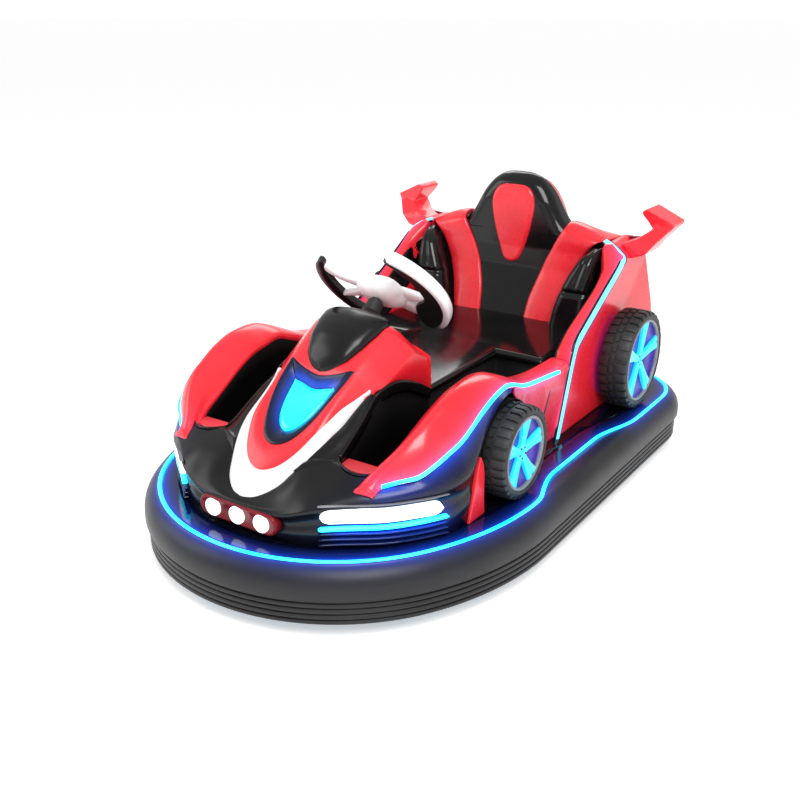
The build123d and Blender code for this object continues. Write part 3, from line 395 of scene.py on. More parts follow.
def plate(name, outline, axis, start, end, bevel=3.0, segments=3, glow=None, holes=(), size=26.0):
    """Flat piece: an outline in the two other axes, run along one axis, with rounded edges."""
    bm = bmesh.new()
    levels = []
    for level in (start, end):
        loops = []
        for points in (outline, *holes):
            spots = [{"x": (level, a, b), "y": (a, level, b), "z": (a, b, level)}[axis] for a, b in points]
            loops.append([bm.verts.new(Vector(spot) * MM) for spot in spots])
        edges = [bm.edges.new(ends) for loop in loops for ends in zip(loop, loop[1:] + loop[:1])]
        if holes:
            bmesh.ops.triangle_fill(bm, edges=edges, use_beauty=True)
        else:
            bm.faces.new(loops[0])
        levels.append(loops)
    for low, high in zip(*levels):
        for k in range(len(low)):
            bm.faces.new((low[k - 1], low[k], high[k], high[k - 1]))
    bmesh.ops.recalc_face_normals(bm, faces=bm.faces)
    if bevel:
        sharp = [e for e in bm.edges if len(e.link_faces) == 2 and e.calc_face_angle(0) > math.radians(28)]
        bmesh.ops.bevel(bm, geom=sharp, offset=bevel * MM, segments=segments, profile=0.5,
                        affect="EDGES", clamp_overlap=True)
    if glow:
        # small faces, so that values stored on points follow the light
        bmesh.ops.triangulate(bm, faces=[f for f in bm.faces if len(f.verts) > 4])
        for _ in range(7):
            long_edges = [e for e in bm.edges if e.calc_length() > size * MM]
            if not long_edges:
                break
            bmesh.ops.subdivide_edges(bm, edges=long_edges, cuts=1)
            bmesh.ops.triangulate(bm, faces=[f for f in bm.faces if len(f.verts) > 4])
    obj = finished(bm, name, glow)
    obj.modifiers.new("normals", "WEIGHTED_NORMAL").keep_sharp = True
    return obj


def reshape(obj, place, sign=1):
    """Moves each point of a left-hand piece by a function of (x, y, z), and mirrors it for sign -1."""
    for vertex in obj.data.vertices:
        x, y, z = place(*(vertex.co / MM))
        vertex.co = Vector((sign * x, y, z)) * MM
    if sign < 0:
        obj.data.flip_normals()
    return obj


def shade_by_angle(obj, degrees=35.0):
    """Smooth shading that keeps edges sharper than the angle."""
    obj.data.set_sharp_from_angle(angle=math.radians(degrees))
    for polygon in obj.data.polygons:
        polygon.use_smooth = True
    return obj


SIDES = (("left", 1), ("right", -1))


def both_plates(name, outline, axis, start, end, paint, slot, **options):
    """A flat piece on the left and its mirror image, from an outline whose first axis is X."""
    for side, sign in SIDES:
        line = outline if sign > 0 else mirrored(outline)[::-1]
        show(plate(f"{name}_{side}", line, axis, start, end, **options), paint)


# ---------------------------------------------------------------- materials
def material(name, low, high, rough, scale=7.0, grain=260.0, bump=0.02, spread=0.05, coat=0.0,
             metal=0.0, specular=0.5, glow=None, glow_paint=None, glow_strength=0.0, glow_fall=1.0,
             light=None, strength=0.0):
    """Surface of uneven colour, roughness and grain, with light spilled on it from the strips near it."""
    mat = bpy.data.materials.new(name)
    mat.use_nodes = True
    nodes, links = mat.node_tree.nodes, mat.node_tree.links
    shader = nodes["Principled BSDF"]
    for socket, value in (("Metallic", metal), ("Specular IOR Level", specular), ("Coat Weight", coat),
                          ("Coat Roughness", 0.06)):
        shader.inputs[socket].default_value = value
    place = nodes.new("ShaderNodeTexCoord")

    def noise(size, detail):
        tex = nodes.new("ShaderNodeTexNoise")
        tex.inputs["Scale"].default_value = size
        tex.inputs["Detail"].default_value = detail
        links.new(place.outputs["Object"], tex.inputs["Vector"])
        return tex.outputs["Fac"]

    def maths(operation, source, value):
        node = nodes.new("ShaderNodeMath")
        node.operation = operation
        node.inputs[1].default_value = value
        links.new(source, node.inputs[0])
        return node.outputs[0]

    paint = nodes.new("ShaderNodeValToRGB")
    for stop, position, tone in zip(paint.color_ramp.elements, (0.35, 0.65), (low, high)):
        stop.position = position
        stop.color = (*tone, 1)
    links.new(noise(scale, 3.0), paint.inputs["Fac"])
    colour = paint.outputs["Color"]
    if glow:
        near = nodes.new("ShaderNodeAttribute")
        near.attribute_name = "glow"
        fall = maths("POWER", near.outputs["Fac"], glow_fall)
        mix = nodes.new("ShaderNodeMix")
        mix.data_type = "RGBA"
        links.new(fall, mix.inputs["Factor"])
        links.new(colour, mix.inputs["A"])
        mix.inputs["B"].default_value = (*(glow_paint or glow), 1)
        colour = mix.outputs["Result"]
        links.new(maths("MULTIPLY", fall, glow_strength), shader.inputs["Emission Strength"])
        shader.inputs["Emission Color"].default_value = (*glow, 1)
    if light:
        shader.inputs["Emission Color"].default_value = (*light, 1)
        shader.inputs["Emission Strength"].default_value = strength
    links.new(colour, shader.inputs["Base Color"])
    level = nodes.new("ShaderNodeMapRange")
    level.inputs["To Min"].default_value = max(rough - spread, 0.02)
    level.inputs["To Max"].default_value = rough + spread
    links.new(noise(scale * 5, 4.0), level.inputs["Value"])
    links.new(level.outputs["Result"], shader.inputs["Roughness"])
    relief = nodes.new("ShaderNodeBump")
    relief.inputs["Strength"].default_value = bump
    relief.inputs["Distance"].default_value = 0.001
    links.new(noise(grain, 2.0), relief.inputs["Height"])
    links.new(relief.outputs["Normal"], shader.inputs["Normal"])
    return mat


PINK = (1.0, 0.10, 0.45)
BLUE = (0.01, 0.07, 0.75)
CYAN = (0.0, 0.72, 1.0)
RED = material("red_paint", (0.78, 0.014, 0.026), (0.88, 0.022, 0.038), 0.26, coat=0.2, bump=0.008,
               glow=PINK, glow_paint=(0.85, 0.10, 0.36), glow_strength=0.30, glow_fall=1.7)
BLACK = material("black_gloss", (0.003, 0.003, 0.003), (0.006, 0.006, 0.006), 0.24, specular=0.34,
                 glow=BLUE, glow_strength=0.06, glow_fall=1.6)
DECK = material("deck_gloss", (0.002, 0.002, 0.005), (0.003, 0.004, 0.008), 0.10, specular=0.4,
                glow=BLUE, glow_strength=0.20, glow_fall=1.5)
RUBBER = material("ring_rubber", (0.008, 0.008, 0.009), (0.013, 0.013, 0.014), 0.42, bump=0.16,
                  grain=900.0, specular=0.38, glow=BLUE, glow_strength=0.10, glow_fall=2.2)
SATIN = material("satin_black", (0.010, 0.010, 0.011), (0.018, 0.018, 0.019), 0.48, bump=0.08)
# near-black with almost no sheen for the hollows: black plastic, darkened further as painted shade in the
# footwells, pods and wheel housings
CAVITY_SHADE = material("cavity_shade_black", (0.001, 0.001, 0.001), (0.002, 0.002, 0.002), 0.6, bump=0.08,
                  specular=0.08)
WHITE = material("white_gloss", (0.83, 0.83, 0.84), (0.90, 0.90, 0.91), 0.22, coat=0.3)
NAVY = material("lamp_frame_navy", (0.002, 0.003, 0.012), (0.004, 0.006, 0.022), 0.22, specular=0.4,
                glow=(0.02, 0.12, 1.0), glow_strength=0.7)
# darker red: the lamp panel's own colour, and on the shoulder strake a painted shade of the red paint
DARK_RED_AND_SHADE = material("dark_red_and_shade_gloss", (0.13, 0.004, 0.008), (0.20, 0.008, 0.014), 0.3, specular=0.25)
TAB_RED = material("tab_red", (0.62, 0.035, 0.050), (0.74, 0.050, 0.065), 0.3, coat=0.2)
SEAT = material("seat_black", (0.003, 0.003, 0.003), (0.006, 0.005, 0.006), 0.14, specular=0.36,
                bump=0.03, grain=500.0)
SEAT_RED = material("seat_red", (0.72, 0.012, 0.024), (0.84, 0.020, 0.034), 0.28, coat=0.2, bump=0.05,
                    grain=500.0)
GRIP = material("grip_black", (0.004, 0.004, 0.004), (0.008, 0.008, 0.008), 0.35, bump=0.1)
TYRE = material("tyre_rubber", (0.010, 0.010, 0.011), (0.018, 0.018, 0.019), 0.5, bump=0.3, grain=700.0)
RIM_GREY = material("rim_edge", (0.16, 0.16, 0.18), (0.22, 0.22, 0.25), 0.3)
DISH = material("rim_dish", (0.008, 0.010, 0.10), (0.05, 0.02, 0.22), 0.3, scale=14.0,
                light=(0.04, 0.03, 0.45), strength=0.5)
SPOKE = material("spoke_light", (0.02, 0.45, 0.80), (0.03, 0.55, 0.92), 0.25, scale=20.0,
                 light=(0.0, 0.50, 1.0), strength=0.85)
STRIP = material("cyan_strip", (0.0, 0.6, 0.9), (0.1, 0.8, 1.0), 0.3, light=CYAN, strength=2.6)
STRIP_SOFT = material("cyan_strip_soft", (0.1, 0.6, 0.8), (0.2, 0.75, 0.9), 0.3,
                      light=(0.16, 0.66, 0.86), strength=1.0)
LAMP = material("nose_lens", (0.0, 0.6, 0.9), (0.02, 0.75, 1.0), 0.2, coat=0.5,
                light=(0.0, 0.80, 1.0), strength=1.15)
HEADLIGHT = material("white_lens", (0.9, 0.92, 1.0), (0.97, 0.98, 1.0), 0.15,
                     light=(0.93, 0.96, 1.0), strength=1.5)
TAIL = material("tail_lens", (0.45, 0.004, 0.008), (0.6, 0.01, 0.015), 0.15, coat=0.6,
                light=(1.0, 0.02, 0.03), strength=0.35)
STEEL = material("frame_paint", (0.018, 0.018, 0.020), (0.030, 0.030, 0.033), 0.42, bump=0.12)
CAST = material("cast_grey", (0.07, 0.07, 0.08), (0.11, 0.11, 0.12), 0.5, bump=0.4, grain=420.0, metal=0.4)
CASE = material("battery_case", (0.020, 0.020, 0.024), (0.034, 0.034, 0.040), 0.45, bump=0.2)
# red-black of the vent slots: painted shade of their hollows
VENT_SHADE = material("vent_slot_shade", (0.010, 0.001, 0.006), (0.02, 0.002, 0.010), 0.5)

# ---------------------------------------------------------------- ring, deck, light
BAND_INSET = 8.0
GROOVE_DEPTH = 6.0
GROOVE_HEIGHT = 4.0
GROOVE_PITCH = 15.0
GROOVES = 4
BAND_TOP = 108.0
SHOULDER = 58.0
SHOULDER_TURN = 70.9
LIGHT_HALF = 5.0


def ring_loops():
    """Loops round the ring, from its inner foot over the top and down the band."""
    profile = [(SHOULDER * (1 - math.cos(a)), DECK_TOP - SHOULDER + SHOULDER * math.sin(a))
               for a in np.radians(np.linspace(SHOULDER_TURN, 0, 9))]
    profile += [(0, BAND_TOP + 5), (1.5, BAND_TOP + 1.5), (5, BAND_TOP), (BAND_INSET, BAND_TOP - 3)]
    for k in reversed(range(GROOVES)):
        high = RING_BOTTOM + (k + 1) * GROOVE_PITCH
        low = high - GROOVE_HEIGHT
        profile += [(BAND_INSET, high + 1), (BAND_INSET + 1, high), (BAND_INSET + GROOVE_DEPTH, high),
                    (BAND_INSET + GROOVE_DEPTH, low), (BAND_INSET + 1, low), (BAND_INSET, low - 1)]
    profile += [(BAND_INSET, RING_BOTTOM + 3), (BAND_INSET + 3, RING_BOTTOM)]
    outer = [at_height(OUTER_LOOP - OUTER_NORMAL * inset, z) for inset, z in profile]
    inner = DECK_LOOP + DECK_NORMAL * LIGHT_HALF
    top = at_height(inner, DECK_TOP - 1.5)
    between = [outer[0] + (top - outer[0]) * t + [0, 0, 1.2 * math.sin(math.pi * t)] for t in (0.65, 0.3)]
    return [at_height(inner, RING_BOTTOM), at_height(inner, 120), top] + between + outer


show(rings("bumper_ring_rubber", [ring_loops()], glow=GLOW), RUBBER, ["bumper_ring"])
strip_profile = [(-LIGHT_HALF, -12), (-LIGHT_HALF, 0.6), (-3.4, 2.4), (0, 3.0), (3.4, 2.4),
                 (LIGHT_HALF, 0.6), (LIGHT_HALF, -12)]
show(rings("ring_light_strip", [[at_height(DECK_LOOP + DECK_NORMAL * off, DECK_TOP + up)
                                 for off, up in strip_profile]]), STRIP, ["ring_light"])

# the footwells' openings in the deck and the driven wheel's well, left side as (x, y)
WELL = [(172, 150), (330, 150), (330, 0), (316, -274), (300, -536), (290, -640), (172, -640)]
DRIVE_Y = float((span("drive_tyre")[0][1] + span("drive_tyre")[1][1]) / 2)
DRIVE_WELL = 150.0
DECK_EDGE = 64.0
deck_bands = [at_height(DECK_LOOP - DECK_NORMAL * off, DECK_TOP) for off in (5, 12, 22, 34, 48, DECK_EDGE)]
band_faces = grid_faces(len(deck_bands), len(DECK_LOOP), close_columns=True)
show(from_data("deck_edge", np.vstack(deck_bands), band_faces, glow=GLOW), DECK, thick=11.0)
deck_hole = [(DRIVE_WELL * c, DRIVE_Y + DRIVE_WELL * s) for c, s in oval(48)]
deck_inner = [tuple(p) for p in DECK_LOOP - DECK_NORMAL * DECK_EDGE]
show(plate("deck_floor", deck_inner, "z", DECK_TOP - 12, DECK_TOP, bevel=0,
           holes=[WELL, mirrored(WELL), deck_hole]), DECK, ["deck_plate"])

# ---------------------------------------------------------------- nose
# y, side top (x, z), edge (x, z), middle z
NOSE = [(-806, 136, 222, 92, 258, 268), (-770, 148, 250, 104, 292, 301), (-726, 156, 296, 108, 324, 329),
        (-684, 160, 334, 106, 362, 366), (-641, 154, 366, 104, 400, 392), (-585, 140, 402, 100, 444, 427),
        (-526, 138, 440, 98, 484, 462), (-488, 146, 460, 97, 509, 482), (-479, 148, 464, 97, 515, 512),
        (-423, 166, 484, 98, 552, 540), (-311, 175, 540, 110, 606, 610), (-223, 175, 498, 128, 512, 514)]
NOSE_YS, *NOSE_COLUMNS = zip(*NOSE)
# rails in plan on the left of the nose, as (x, y)
LAMP_FIELD = [(0, -628), (22, -618), (41, -594), (54, -556), (63, -503)]
LAMP_BACK = [(0, -506), (40, -502), (63, -503)]
FRAME_FIELD = [(0, -677), (34, -665), (58, -637), (79, -592), (92, -542), (99, -499), (103, -468)]
FRAME_BACK = [(0, -486), (50, -481), (84, -474), (104, -466)]
TRIM_OUT = [(0, -796), (36, -786), (70, -760), (100, -714), (126, -650), (137, -585), (142, -520),
            (149, -466)]
TRIM_IN = [(0, -729), (36, -718), (66, -693), (90, -655), (108, -608), (121, -540), (148, -466)]
# the cowl's lower edge at the side, as (y, z)
SIDE_ARCH = [(-469, 458), (-445, 472), (-410, 480), (-367, 478), (-325, 464), (-280, 442), (-223, 412)]
COWL_Y = -486
COWL_YS = [*np.linspace(COWL_Y, -330, 27), -311, -290, -265, -240, -228, NOSE_END_Y]


def nose_at(y):
    """Side x and z, edge x and z, and middle z of the nose at y, with soft changes."""
    return [soft(y, NOSE_YS, column, 16) for column in NOSE_COLUMNS]


def nose_z(x, y):
    """Height of the nose's upper surface."""
    side_x, side_z, edge_x, edge_z, mid_z = nose_at(y)
    total = 0.0
    for shift in (-9, -4.5, 0, 4.5, 9):
        a = abs(abs(x) + shift)
        if a <= edge_x:
            total += mid_z + (edge_z - mid_z) * (a / edge_x) ** 1.8
        else:
            t = min((a - edge_x) / (side_x - edge_x), 1.25)
            total += edge_z + (side_z - edge_z) * t ** 1.15
    return total / 5


def whole(rail, count, per=10):
    """Count points along a left-hand rail and its mirror image, from the right side to the left."""
    rail = [tuple(p) for p in rail]
    return resample(spline(mirrored(rail[:0:-1]) + rail, per), count)


def on_nose(points, lift=0.0):
    """Plan points raised to the nose's surface."""
    return np.array([(x, y, nose_z(x, y) + lift) for x, y in points])


def band_between(inner, outer, lifts, flush_ends=False):
    """Grid on the nose between two lines in plan, with a lift for each step across."""
    steps = np.arange(len(inner))
    fade = np.interp(np.minimum(steps, len(inner) - 1 - steps), [0, 8], [0, 1]) if flush_ends else 1.0
    columns = []
    for t, lift in zip(np.linspace(0, 1, len(lifts)), lifts):
        column = on_nose(inner + (outer - inner) * t)
        column[:, 2] += lift * fade
        columns.append(column)
    return np.stack(columns, axis=1)


def grow(rail, amount):
    """Plan rail moved sideways, away from the middle of the nose for a positive amount."""
    pts = np.array(rail, float)
    pts += plan_normals(pts) * amount
    pts[0, 0] = 0.0
    return [tuple(p) for p in pts]


RAIL = 97
red_band = band_between(whole(grow(FRAME_FIELD, -4), RAIL), whole(grow(TRIM_IN, 6), RAIL),
                        [-3, 1, 1.6, 1.8, 1.6, 1.0, -1.0, -4], flush_ends=True)
band_end = red_band[-1]
end_x, end_y = band_end[:, 0], band_end[:, 1]

# the red cowl behind the lamp: across the top, down the sides to the footwell's arch
cowl = []
for y in COWL_YS:
    side_x = nose_at(y)[0]
    front = np.interp(y, [COWL_Y, -440], [1, 0])
    row = []
    for a in [*np.linspace(0, 0.62, 8)[:-1], *(end_x / end_x[-1])]:
        x = a * (side_x + (end_x[-1] - side_x) * front)
        start = np.interp(x, [0, 50, 84, end_x[0], 149], [COWL_Y, -482, -475, end_y[0], -466])
        row.append((x, y + front * (start - COWL_Y)))
    row = [(x, along, nose_z(x, along)) for x, along in row]
    if not cowl:
        row[7:] = [tuple(p) for p in band_end]
    corner_x, corner_y, top = row[-1]
    low = min(soft(y, *zip(*SIDE_ARCH), 10), top - 8)
    cowl.append(row + [(corner_x + 3 * math.sin(math.pi * t), corner_y, top + (low - top) * t)
                       for t in (0.12, 0.4, 0.7, 1.0)])
show(sheets("nose_red_shell", [red_band, *pair(cowl)]), RED, ["nose_shell"],
     thick=6.0, bevel=2.5, angle=40)
v_trim = band_between(whole(TRIM_IN, RAIL), whole(TRIM_OUT, RAIL), [-5, 2.5, 5.5, 6.5, 6.5, 5.5, 2.5, -6])
show(sheets("nose_v_trim", [v_trim]), WHITE, ["nose_trim"], thick=5.0, bevel=1.5, angle=50)

FRAME_LIFTS = [-13, -9, -4, 0, 2.5, 1]
LAMP_REACH = 0.007
frame_top_in = whole(LAMP_BACK, 41)
bezel_grids = [band_between(whole(LAMP_FIELD, RAIL), whole(FRAME_FIELD, RAIL), FRAME_LIFTS),
               band_between(frame_top_in, whole(FRAME_BACK, 41), FRAME_LIFTS)]
lamp_line = np.vstack([on_nose(whole(LAMP_FIELD, 60, 8)), on_nose(frame_top_in)])
show(sheets("nose_lamp_bezel", bezel_grids, glow=(lamp_line * MM, LAMP_REACH)), NAVY,
     ["nose_lamp_frame"], thick=5.0, bevel=1.0, angle=50)
lens = band_between(whole(LAMP_FIELD, 61, 8), whole(LAMP_BACK, 61, 8),
                    [-11 + 3 * math.sin(math.pi * t) for t in np.linspace(0, 1, 9)])
show(sheets("nose_lamp_lens", [lens]), LAMP, ["nose_lamp"], thick=6.0)

# the hood's side section as (y, z), and its half width as (y, x)
HOOD_TOP = [(-480, 510), (-474, 527), (-462, 546), (-445, 566), (-420, 591), (-392, 610), (-365, 624),
            (-335, 631), (-311, 630)]
HOOD_HALF = [(-480, 1), (-478, 18), (-473, 34), (-464, 49), (-448, 65), (-410, 85), (-355, 98), (-311, 104)]
HOOD_Y = HOOD_TOP[0][0]
hood = []
for y in HOOD_Y + (DASH_Y - HOOD_Y) * np.linspace(0, 1, 33) ** 2:
    half, top = at(y, HOOD_HALF), soft(y, *zip(*HOOD_TOP), 4)
    base = nose_z(half, y) - 4
    hood.append([(half * math.sin(a), y, base + max(top - base, 2) * abs(math.cos(a)) ** 0.62)
                 for a in np.linspace(-math.pi / 2, math.pi / 2, 25)])
hood_end = np.array(hood[-1])
hood += [hood_end * [0.97, 1, 1] + [0, 1.5, -3], hood_end * [0.9, 1, 1] + [0, 0, -12]]
show(sheets("hood_cover", [hood]), BLACK, ["cowl_panel"], thick=5.0)

# ---------------------------------------------------------------- front and footwell rims
# the front's crease on the left, as (x, y, z), each with the point that its upper surface starts at
FRONT = [((0, -812, 262), (0, -794)), ((60, -811, 262), (38, -785)), ((110, -808, 264), (80, -748)),
         ((150, -801, 272), (116, -680))]
BROW = [((190, -789, 286), (184, -648, 362)), ((222, -772, 294), (216, -664, 354)),
        ((262, -741, 302), (256, -668, 350)), ((345, -676, 314), (296, -645, 352)),
        ((400, -612, 320), (352, -600, 352)), ((436, -560, 325), (396, -550, 362)),
        ((452, -512, 331), (408, -500, 378)), ((456, -466, 343), (419, -462, 396)),
        ((452, -428, 376), (422, -420, 420)), ((447, -390, 412), (425, -390, 439)),
        ((440, -330, 447), (427, -330, 465)), ((433, -264, 461), (426, -264, 476)),
        ((421, -215, 452), (420, -212, 463))]
# the foot of the face behind the crease, as (y, z), over the wheel's arch
ARCH_FOOT = [(-436, DECK_TOP), (-396, 300), (-390, 350), (-360, 402), (-330, 425), (-264, 444), (-215, 436)]
# steps down the face: how far back under the crease, and the share of the height left
FACE_STEPS = [(1, 0.93), (3, 0.88), (16, 0.86), (17, 0.50), (13, 0.46), (13, 0.0)]
# the lip of the footwell's opening on the left, as (x, y, z): along the nose, then beside the V trim
ARCH_LIP = [(175, -232, 414), (176, -280, 442), (175, -325, 463), (174, -367, 476), (170, -410, 478),
            (164, -445, 470)]
LIP = [(160, -466, 459), (166, -500, 441), (172, -545, 415), (175, -590, 389), (178, -625, 370),
       (184, -648, 362)]
OPENING_Y = -640

crease = [c for c, _ in FRONT + BROW]
brow_tops = [shifted(high) for _, high in BROW]
upper = [(x, y, nose_z(x, y) - 4) for _, (x, y) in FRONT] + brow_tops
front_rows = []
for low, high in zip(np.array(crease, float), np.array(upper, float)):
    front_rows.append([high, (low + high) / 2 + [0, 0, 0.05 * np.linalg.norm(high - low)],
                       low + (high - low) * 0.12 + [0, 0, 4.0], low])
skin = weave(front_rows, 6, 5)

# the face below the crease, set back under it, down to the deck
face = []
for (x, y, z), normal in zip(skin[:, -1], plan_normals(skin[:, -1])):
    behind = np.interp(y, [-470, -390], [0, 1])
    foot = DECK_TOP if y < ARCH_FOOT[0][0] else max(DECK_TOP, at(y, ARCH_FOOT))
    row = [(x, y, z)]
    for back, height in FACE_STEPS:
        depth = back * (1 - behind) + 14 * min(1, 1.2 - height) * behind
        row.append((x - normal[0] * depth, y - normal[1] * depth, foot + (z - foot) * height))
    face.append(row)

# nose flank between the V trim and the lip
flank_rows = []
trim_edge = resample(spline(TRIM_OUT[3:], 8), 6)[::-1]
for (x, y), end in zip(trim_edge, np.array(LIP, float)):
    start = np.array([x - 5, y, nose_z(x, y) - 3])
    flank_rows.append([start, start + (end - start) * 0.5 + [4, 0, 5], end])
flank_rows.append([upper[3], (np.array(upper[3]) + brow_tops[0]) / 2, brow_tops[0]])

# the lip rolls over and runs down inside, and a lining hangs below it, near-black as painted shade in the footwell
rim_pts = spline(ARCH_LIP + LIP + brow_tops[1:4], 6)
lip_rows, wall_rows = [], []
for k, p in enumerate(rim_pts):
    x, y, z = p
    inward = np.array([0.0, 1.0, 0.0])
    if y > OPENING_Y:
        ahead = way_on(rim_pts, k)
        inward = unit([abs(ahead[1]), -ahead[0] * np.sign(ahead[1]), 0.0])
    lip_rows.append([p - inward * 2, p + [0, 0, 4], p + inward * 5 + [0, 0, 3], p + inward * 7 + [0, 0, -4],
                     p + inward * 7 + [0, 0, -26]])
    wall_x, wall_y = (max(x - 2, 168), y) if y > OPENING_Y else (x, y + 9)
    wall_rows.append([(wall_x, wall_y, z - 16), (wall_x, wall_y, DECK_TOP)])
show(sheets("front_black_skin", pair(skin, face, weave(flank_rows, 5, 6), weave(lip_rows, 1, 4)), glow=GLOW),
     BLACK, ["front_fascia", "pod_lower_left", "pod_lower_right"], thick=4.0)
show(sheets("footwell_linings", pair(weave(wall_rows, 1, 2))), CAVITY_SHADE, thick=3.0)

# ---------------------------------------------------------------- front lamps
LAMP_LOW, LAMP_HIGH = span("lamp_bar")
LAMP_Z = (LAMP_LOW[2] + LAMP_HIGH[2]) / 2
LAMP_HALF_Z = (LAMP_HIGH[2] - LAMP_LOW[2]) / 2
LAMP_PITCH = 78.0
LAMP_RADIUS = 23.0


def stadium(half_x, half_z, y, count=12):
    """Closed outline of points with half-round ends, at the lamps' height."""
    return [(side * (half_x - half_z) + half_z * math.cos(a), y, LAMP_Z + half_z * math.sin(a))
            for side, start in ((1, -90), (-1, 90))
            for a in np.radians(np.linspace(start, start + 180, count))]


show(tubes("lamp_panel", [[stadium(LAMP_HIGH[0] - inset, LAMP_HALF_Z - inset, LAMP_LOW[1] + back)
                           for inset, back in ((0, 24), (0, 5), (1.5, 1.5), (5, 0), (9, 1.5), (11, 4))]]),
     DARK_RED_AND_SHADE, ["lamp_bar"])
lamp_grids = [[[(k * LAMP_PITCH + radius * c, LAMP_LOW[1] + out, LAMP_Z + radius * s) for c, s in oval(32)]
               for radius, out in ((LAMP_RADIUS, 5), (LAMP_RADIUS, -1.5), (LAMP_RADIUS - 1.5, -3.5),
                                   (LAMP_RADIUS * 0.75, -5), (LAMP_RADIUS * 0.4, -5.8), (1.0, -6))]
              for k in (-1, 0, 1)]
show(tubes("front_lamp_lenses", lamp_grids), HEADLIGHT, ["front_lamps"])

# headlights: bars that follow the housing, rounded at their ends
LENS_LOW, LENS_HIGH = span("headlights")
LENS_PATH = [(226, -775), (262, -745), (345, -681), (402, -612), (434, -566)]
STRIP_PATH = [(222, -778), (262, -745), (345, -681), (402, -612), (440, -548)]
STRIP_Z = sum(corner[2] for corner in span("headlight_strips")) / 2


def face_bars(name, path, mid_z, half_z, back, proud, round_end=0.02, lift=0.0, glow=None, count=48):
    """Bars of oval section along the face on both sides, with ends that round off."""
    pts = resample(spline(path, 12), count)
    sections = []
    for k, (p, n) in enumerate(zip(pts, plan_normals(pts))):
        t = k / (count - 1)
        end = min(1.0, min(t, 1 - t) / round_end)
        scale = max(0.06, math.sqrt(max(0.0, 1 - (1 - end) ** 2)))
        section = []
        for (deep, _), (_, high) in zip(oval(16, 0.5), oval(16, 0.7)):
            depth = back + (proud - back) * (0.5 + 0.5 * deep)
            section.append((*(p + n * depth), mid_z + high * half_z * scale + lift * t))
        sections.append(section)
    return tubes(name, pair(sections), glow=glow)


show(face_bars("headlight_lenses", LENS_PATH, (LENS_LOW[2] + LENS_HIGH[2]) / 2, (LENS_HIGH[2] - LENS_LOW[2]) / 2,
               -14, 2, round_end=0.09), HEADLIGHT, ["headlights"])
show(face_bars("headlight_strip_lights", STRIP_PATH, STRIP_Z, 4.8, -14, 0, lift=3), STRIP,
     ["headlight_strips"])
# three stepped glossy navy bars under the strip, tinted blue by the strips' painted glow: painted reflections of
# the strip
for k, (z, proud) in enumerate(((226, -5), (213, -3), (200, -1))):
    show(face_bars(f"headlight_louvre_{k}", STRIP_PATH, z, 3.0, -16, proud, glow=GLOW), DECK)
# thin grey bar along the brow above the lens: a painted highlight on the edge of the housing's recess
show(face_bars("headlight_brow_line", STRIP_PATH, 303, 1.6, -8, 2.0, round_end=0.03), RIM_GREY)

# ---------------------------------------------------------------- side pods
# sections of the left pod: y, inner x, its lower and upper z, outer edge (x, z), light line (x, z)
POD = [(-690, 264, 308, 326, 292, 344, 322, 322), (-665, 273, 322, 342, 303, 366, 326, 333),
       (-600, 294, 358, 378, 345, 422, 386, 347), (-550, 299, 384, 402, 356, 450, 402, 361),
       (-500, 303, 410, 428, 362, 477, 411, 377), (-462, 306, 430, 448, 366, 494, 421, 395),
       (-390, 312, 458, 478, 372, 513, 428, 438), (-330, 315, 468, 489, 372, 516, 430, 464),
       (-274, 318, 474, 494, 372, 511, 429, 475), (-210, 322, 452, 472, 372, 487, 421, 462),
       (-112, 328, 416, 438, 378, 446, 408, 428), (0, 332, 398, 420, 380, 428, 402, 411),
       (120, 333, 390, 414, 380, 418, 401, 400), (182, 334, 390, 414, 380, 418, 401, 400)]
POD_CROWN = 0.07
STRIPE_SECTION = ((-4, -1), (2, -1), (4.2, 1.5), (4.2, 6.0), (2, 8.5), (-4, 8.5))
pod_rows = []
for y, xi, zb, zi, xo, zo, xs, zs in POD:
    crown = POD_CROWN * math.hypot(xo - xi, zo - zi)
    pod_rows.append([(xi + 1, y, zb), (xi - 1, y, (zb + zi) / 2), (xi + 1, y, zi - 4),
                     (xi + 7, y, zi + 3), ((xi + xo) / 2 - crown * 0.5, y, (zi + zo) / 2 + crown),
                     shifted((xo - 2, y, zo), 0.6),
                     shifted((xo + (xs - xo) * 0.45 + 5, y, zo + (zs - zo) * 0.42 + 4), 0.9),
                     shifted((xs, y, zs))])
# the blunt tip: share of the height kept, and how far ahead of the first section
tip = np.array(pod_rows[0])
slant = 10 * (tip[-1, 0] - tip[:, 0]) / (tip[-1, 0] - tip[0, 0])
for kept, ahead in ((0.75, 6), (0.1, 9)):
    heights = np.minimum(tip[:, 2], tip[-1, 2] + (tip[:, 2] - tip[-1, 2]) * kept)
    pod_rows.insert(0, np.column_stack([tip[:, 0], tip[:, 1] - ahead - slant, heights]))
for (side, _), grid in zip(SIDES, pair(weave(pod_rows, 5, 4))):
    show(sheets(f"pod_shell_{side}", [grid], glow=GLOW), RED, [f"pod_{side}"], thick=5.0)

stripe_pts = spline(STRIPE, 6)
stripe_rows = []
for k, p in enumerate(stripe_pts):
    ahead = way_on(stripe_pts, k)
    out = unit([ahead[1], -ahead[0], 0.0])
    stripe_rows.append([p + out * o + [0, 0, u] for o, u in STRIPE_SECTION])
show(tubes("pod_light_strips", pair(stripe_rows)), STRIP, ["pod_lights"])
# the pods' inner walls down to the deck, near-black as painted shade under the pods
pod_inner = weave([[(xi + 2, y, zb + 3), (xi + 4, y, (zb + DECK_TOP) / 2), (xi + 4, y, DECK_TOP)]
                   for y, xi, zb, *_ in POD[1:]], 4, 3)
show(sheets("pod_linings", pair(pod_inner)), CAVITY_SHADE, thick=3.0)


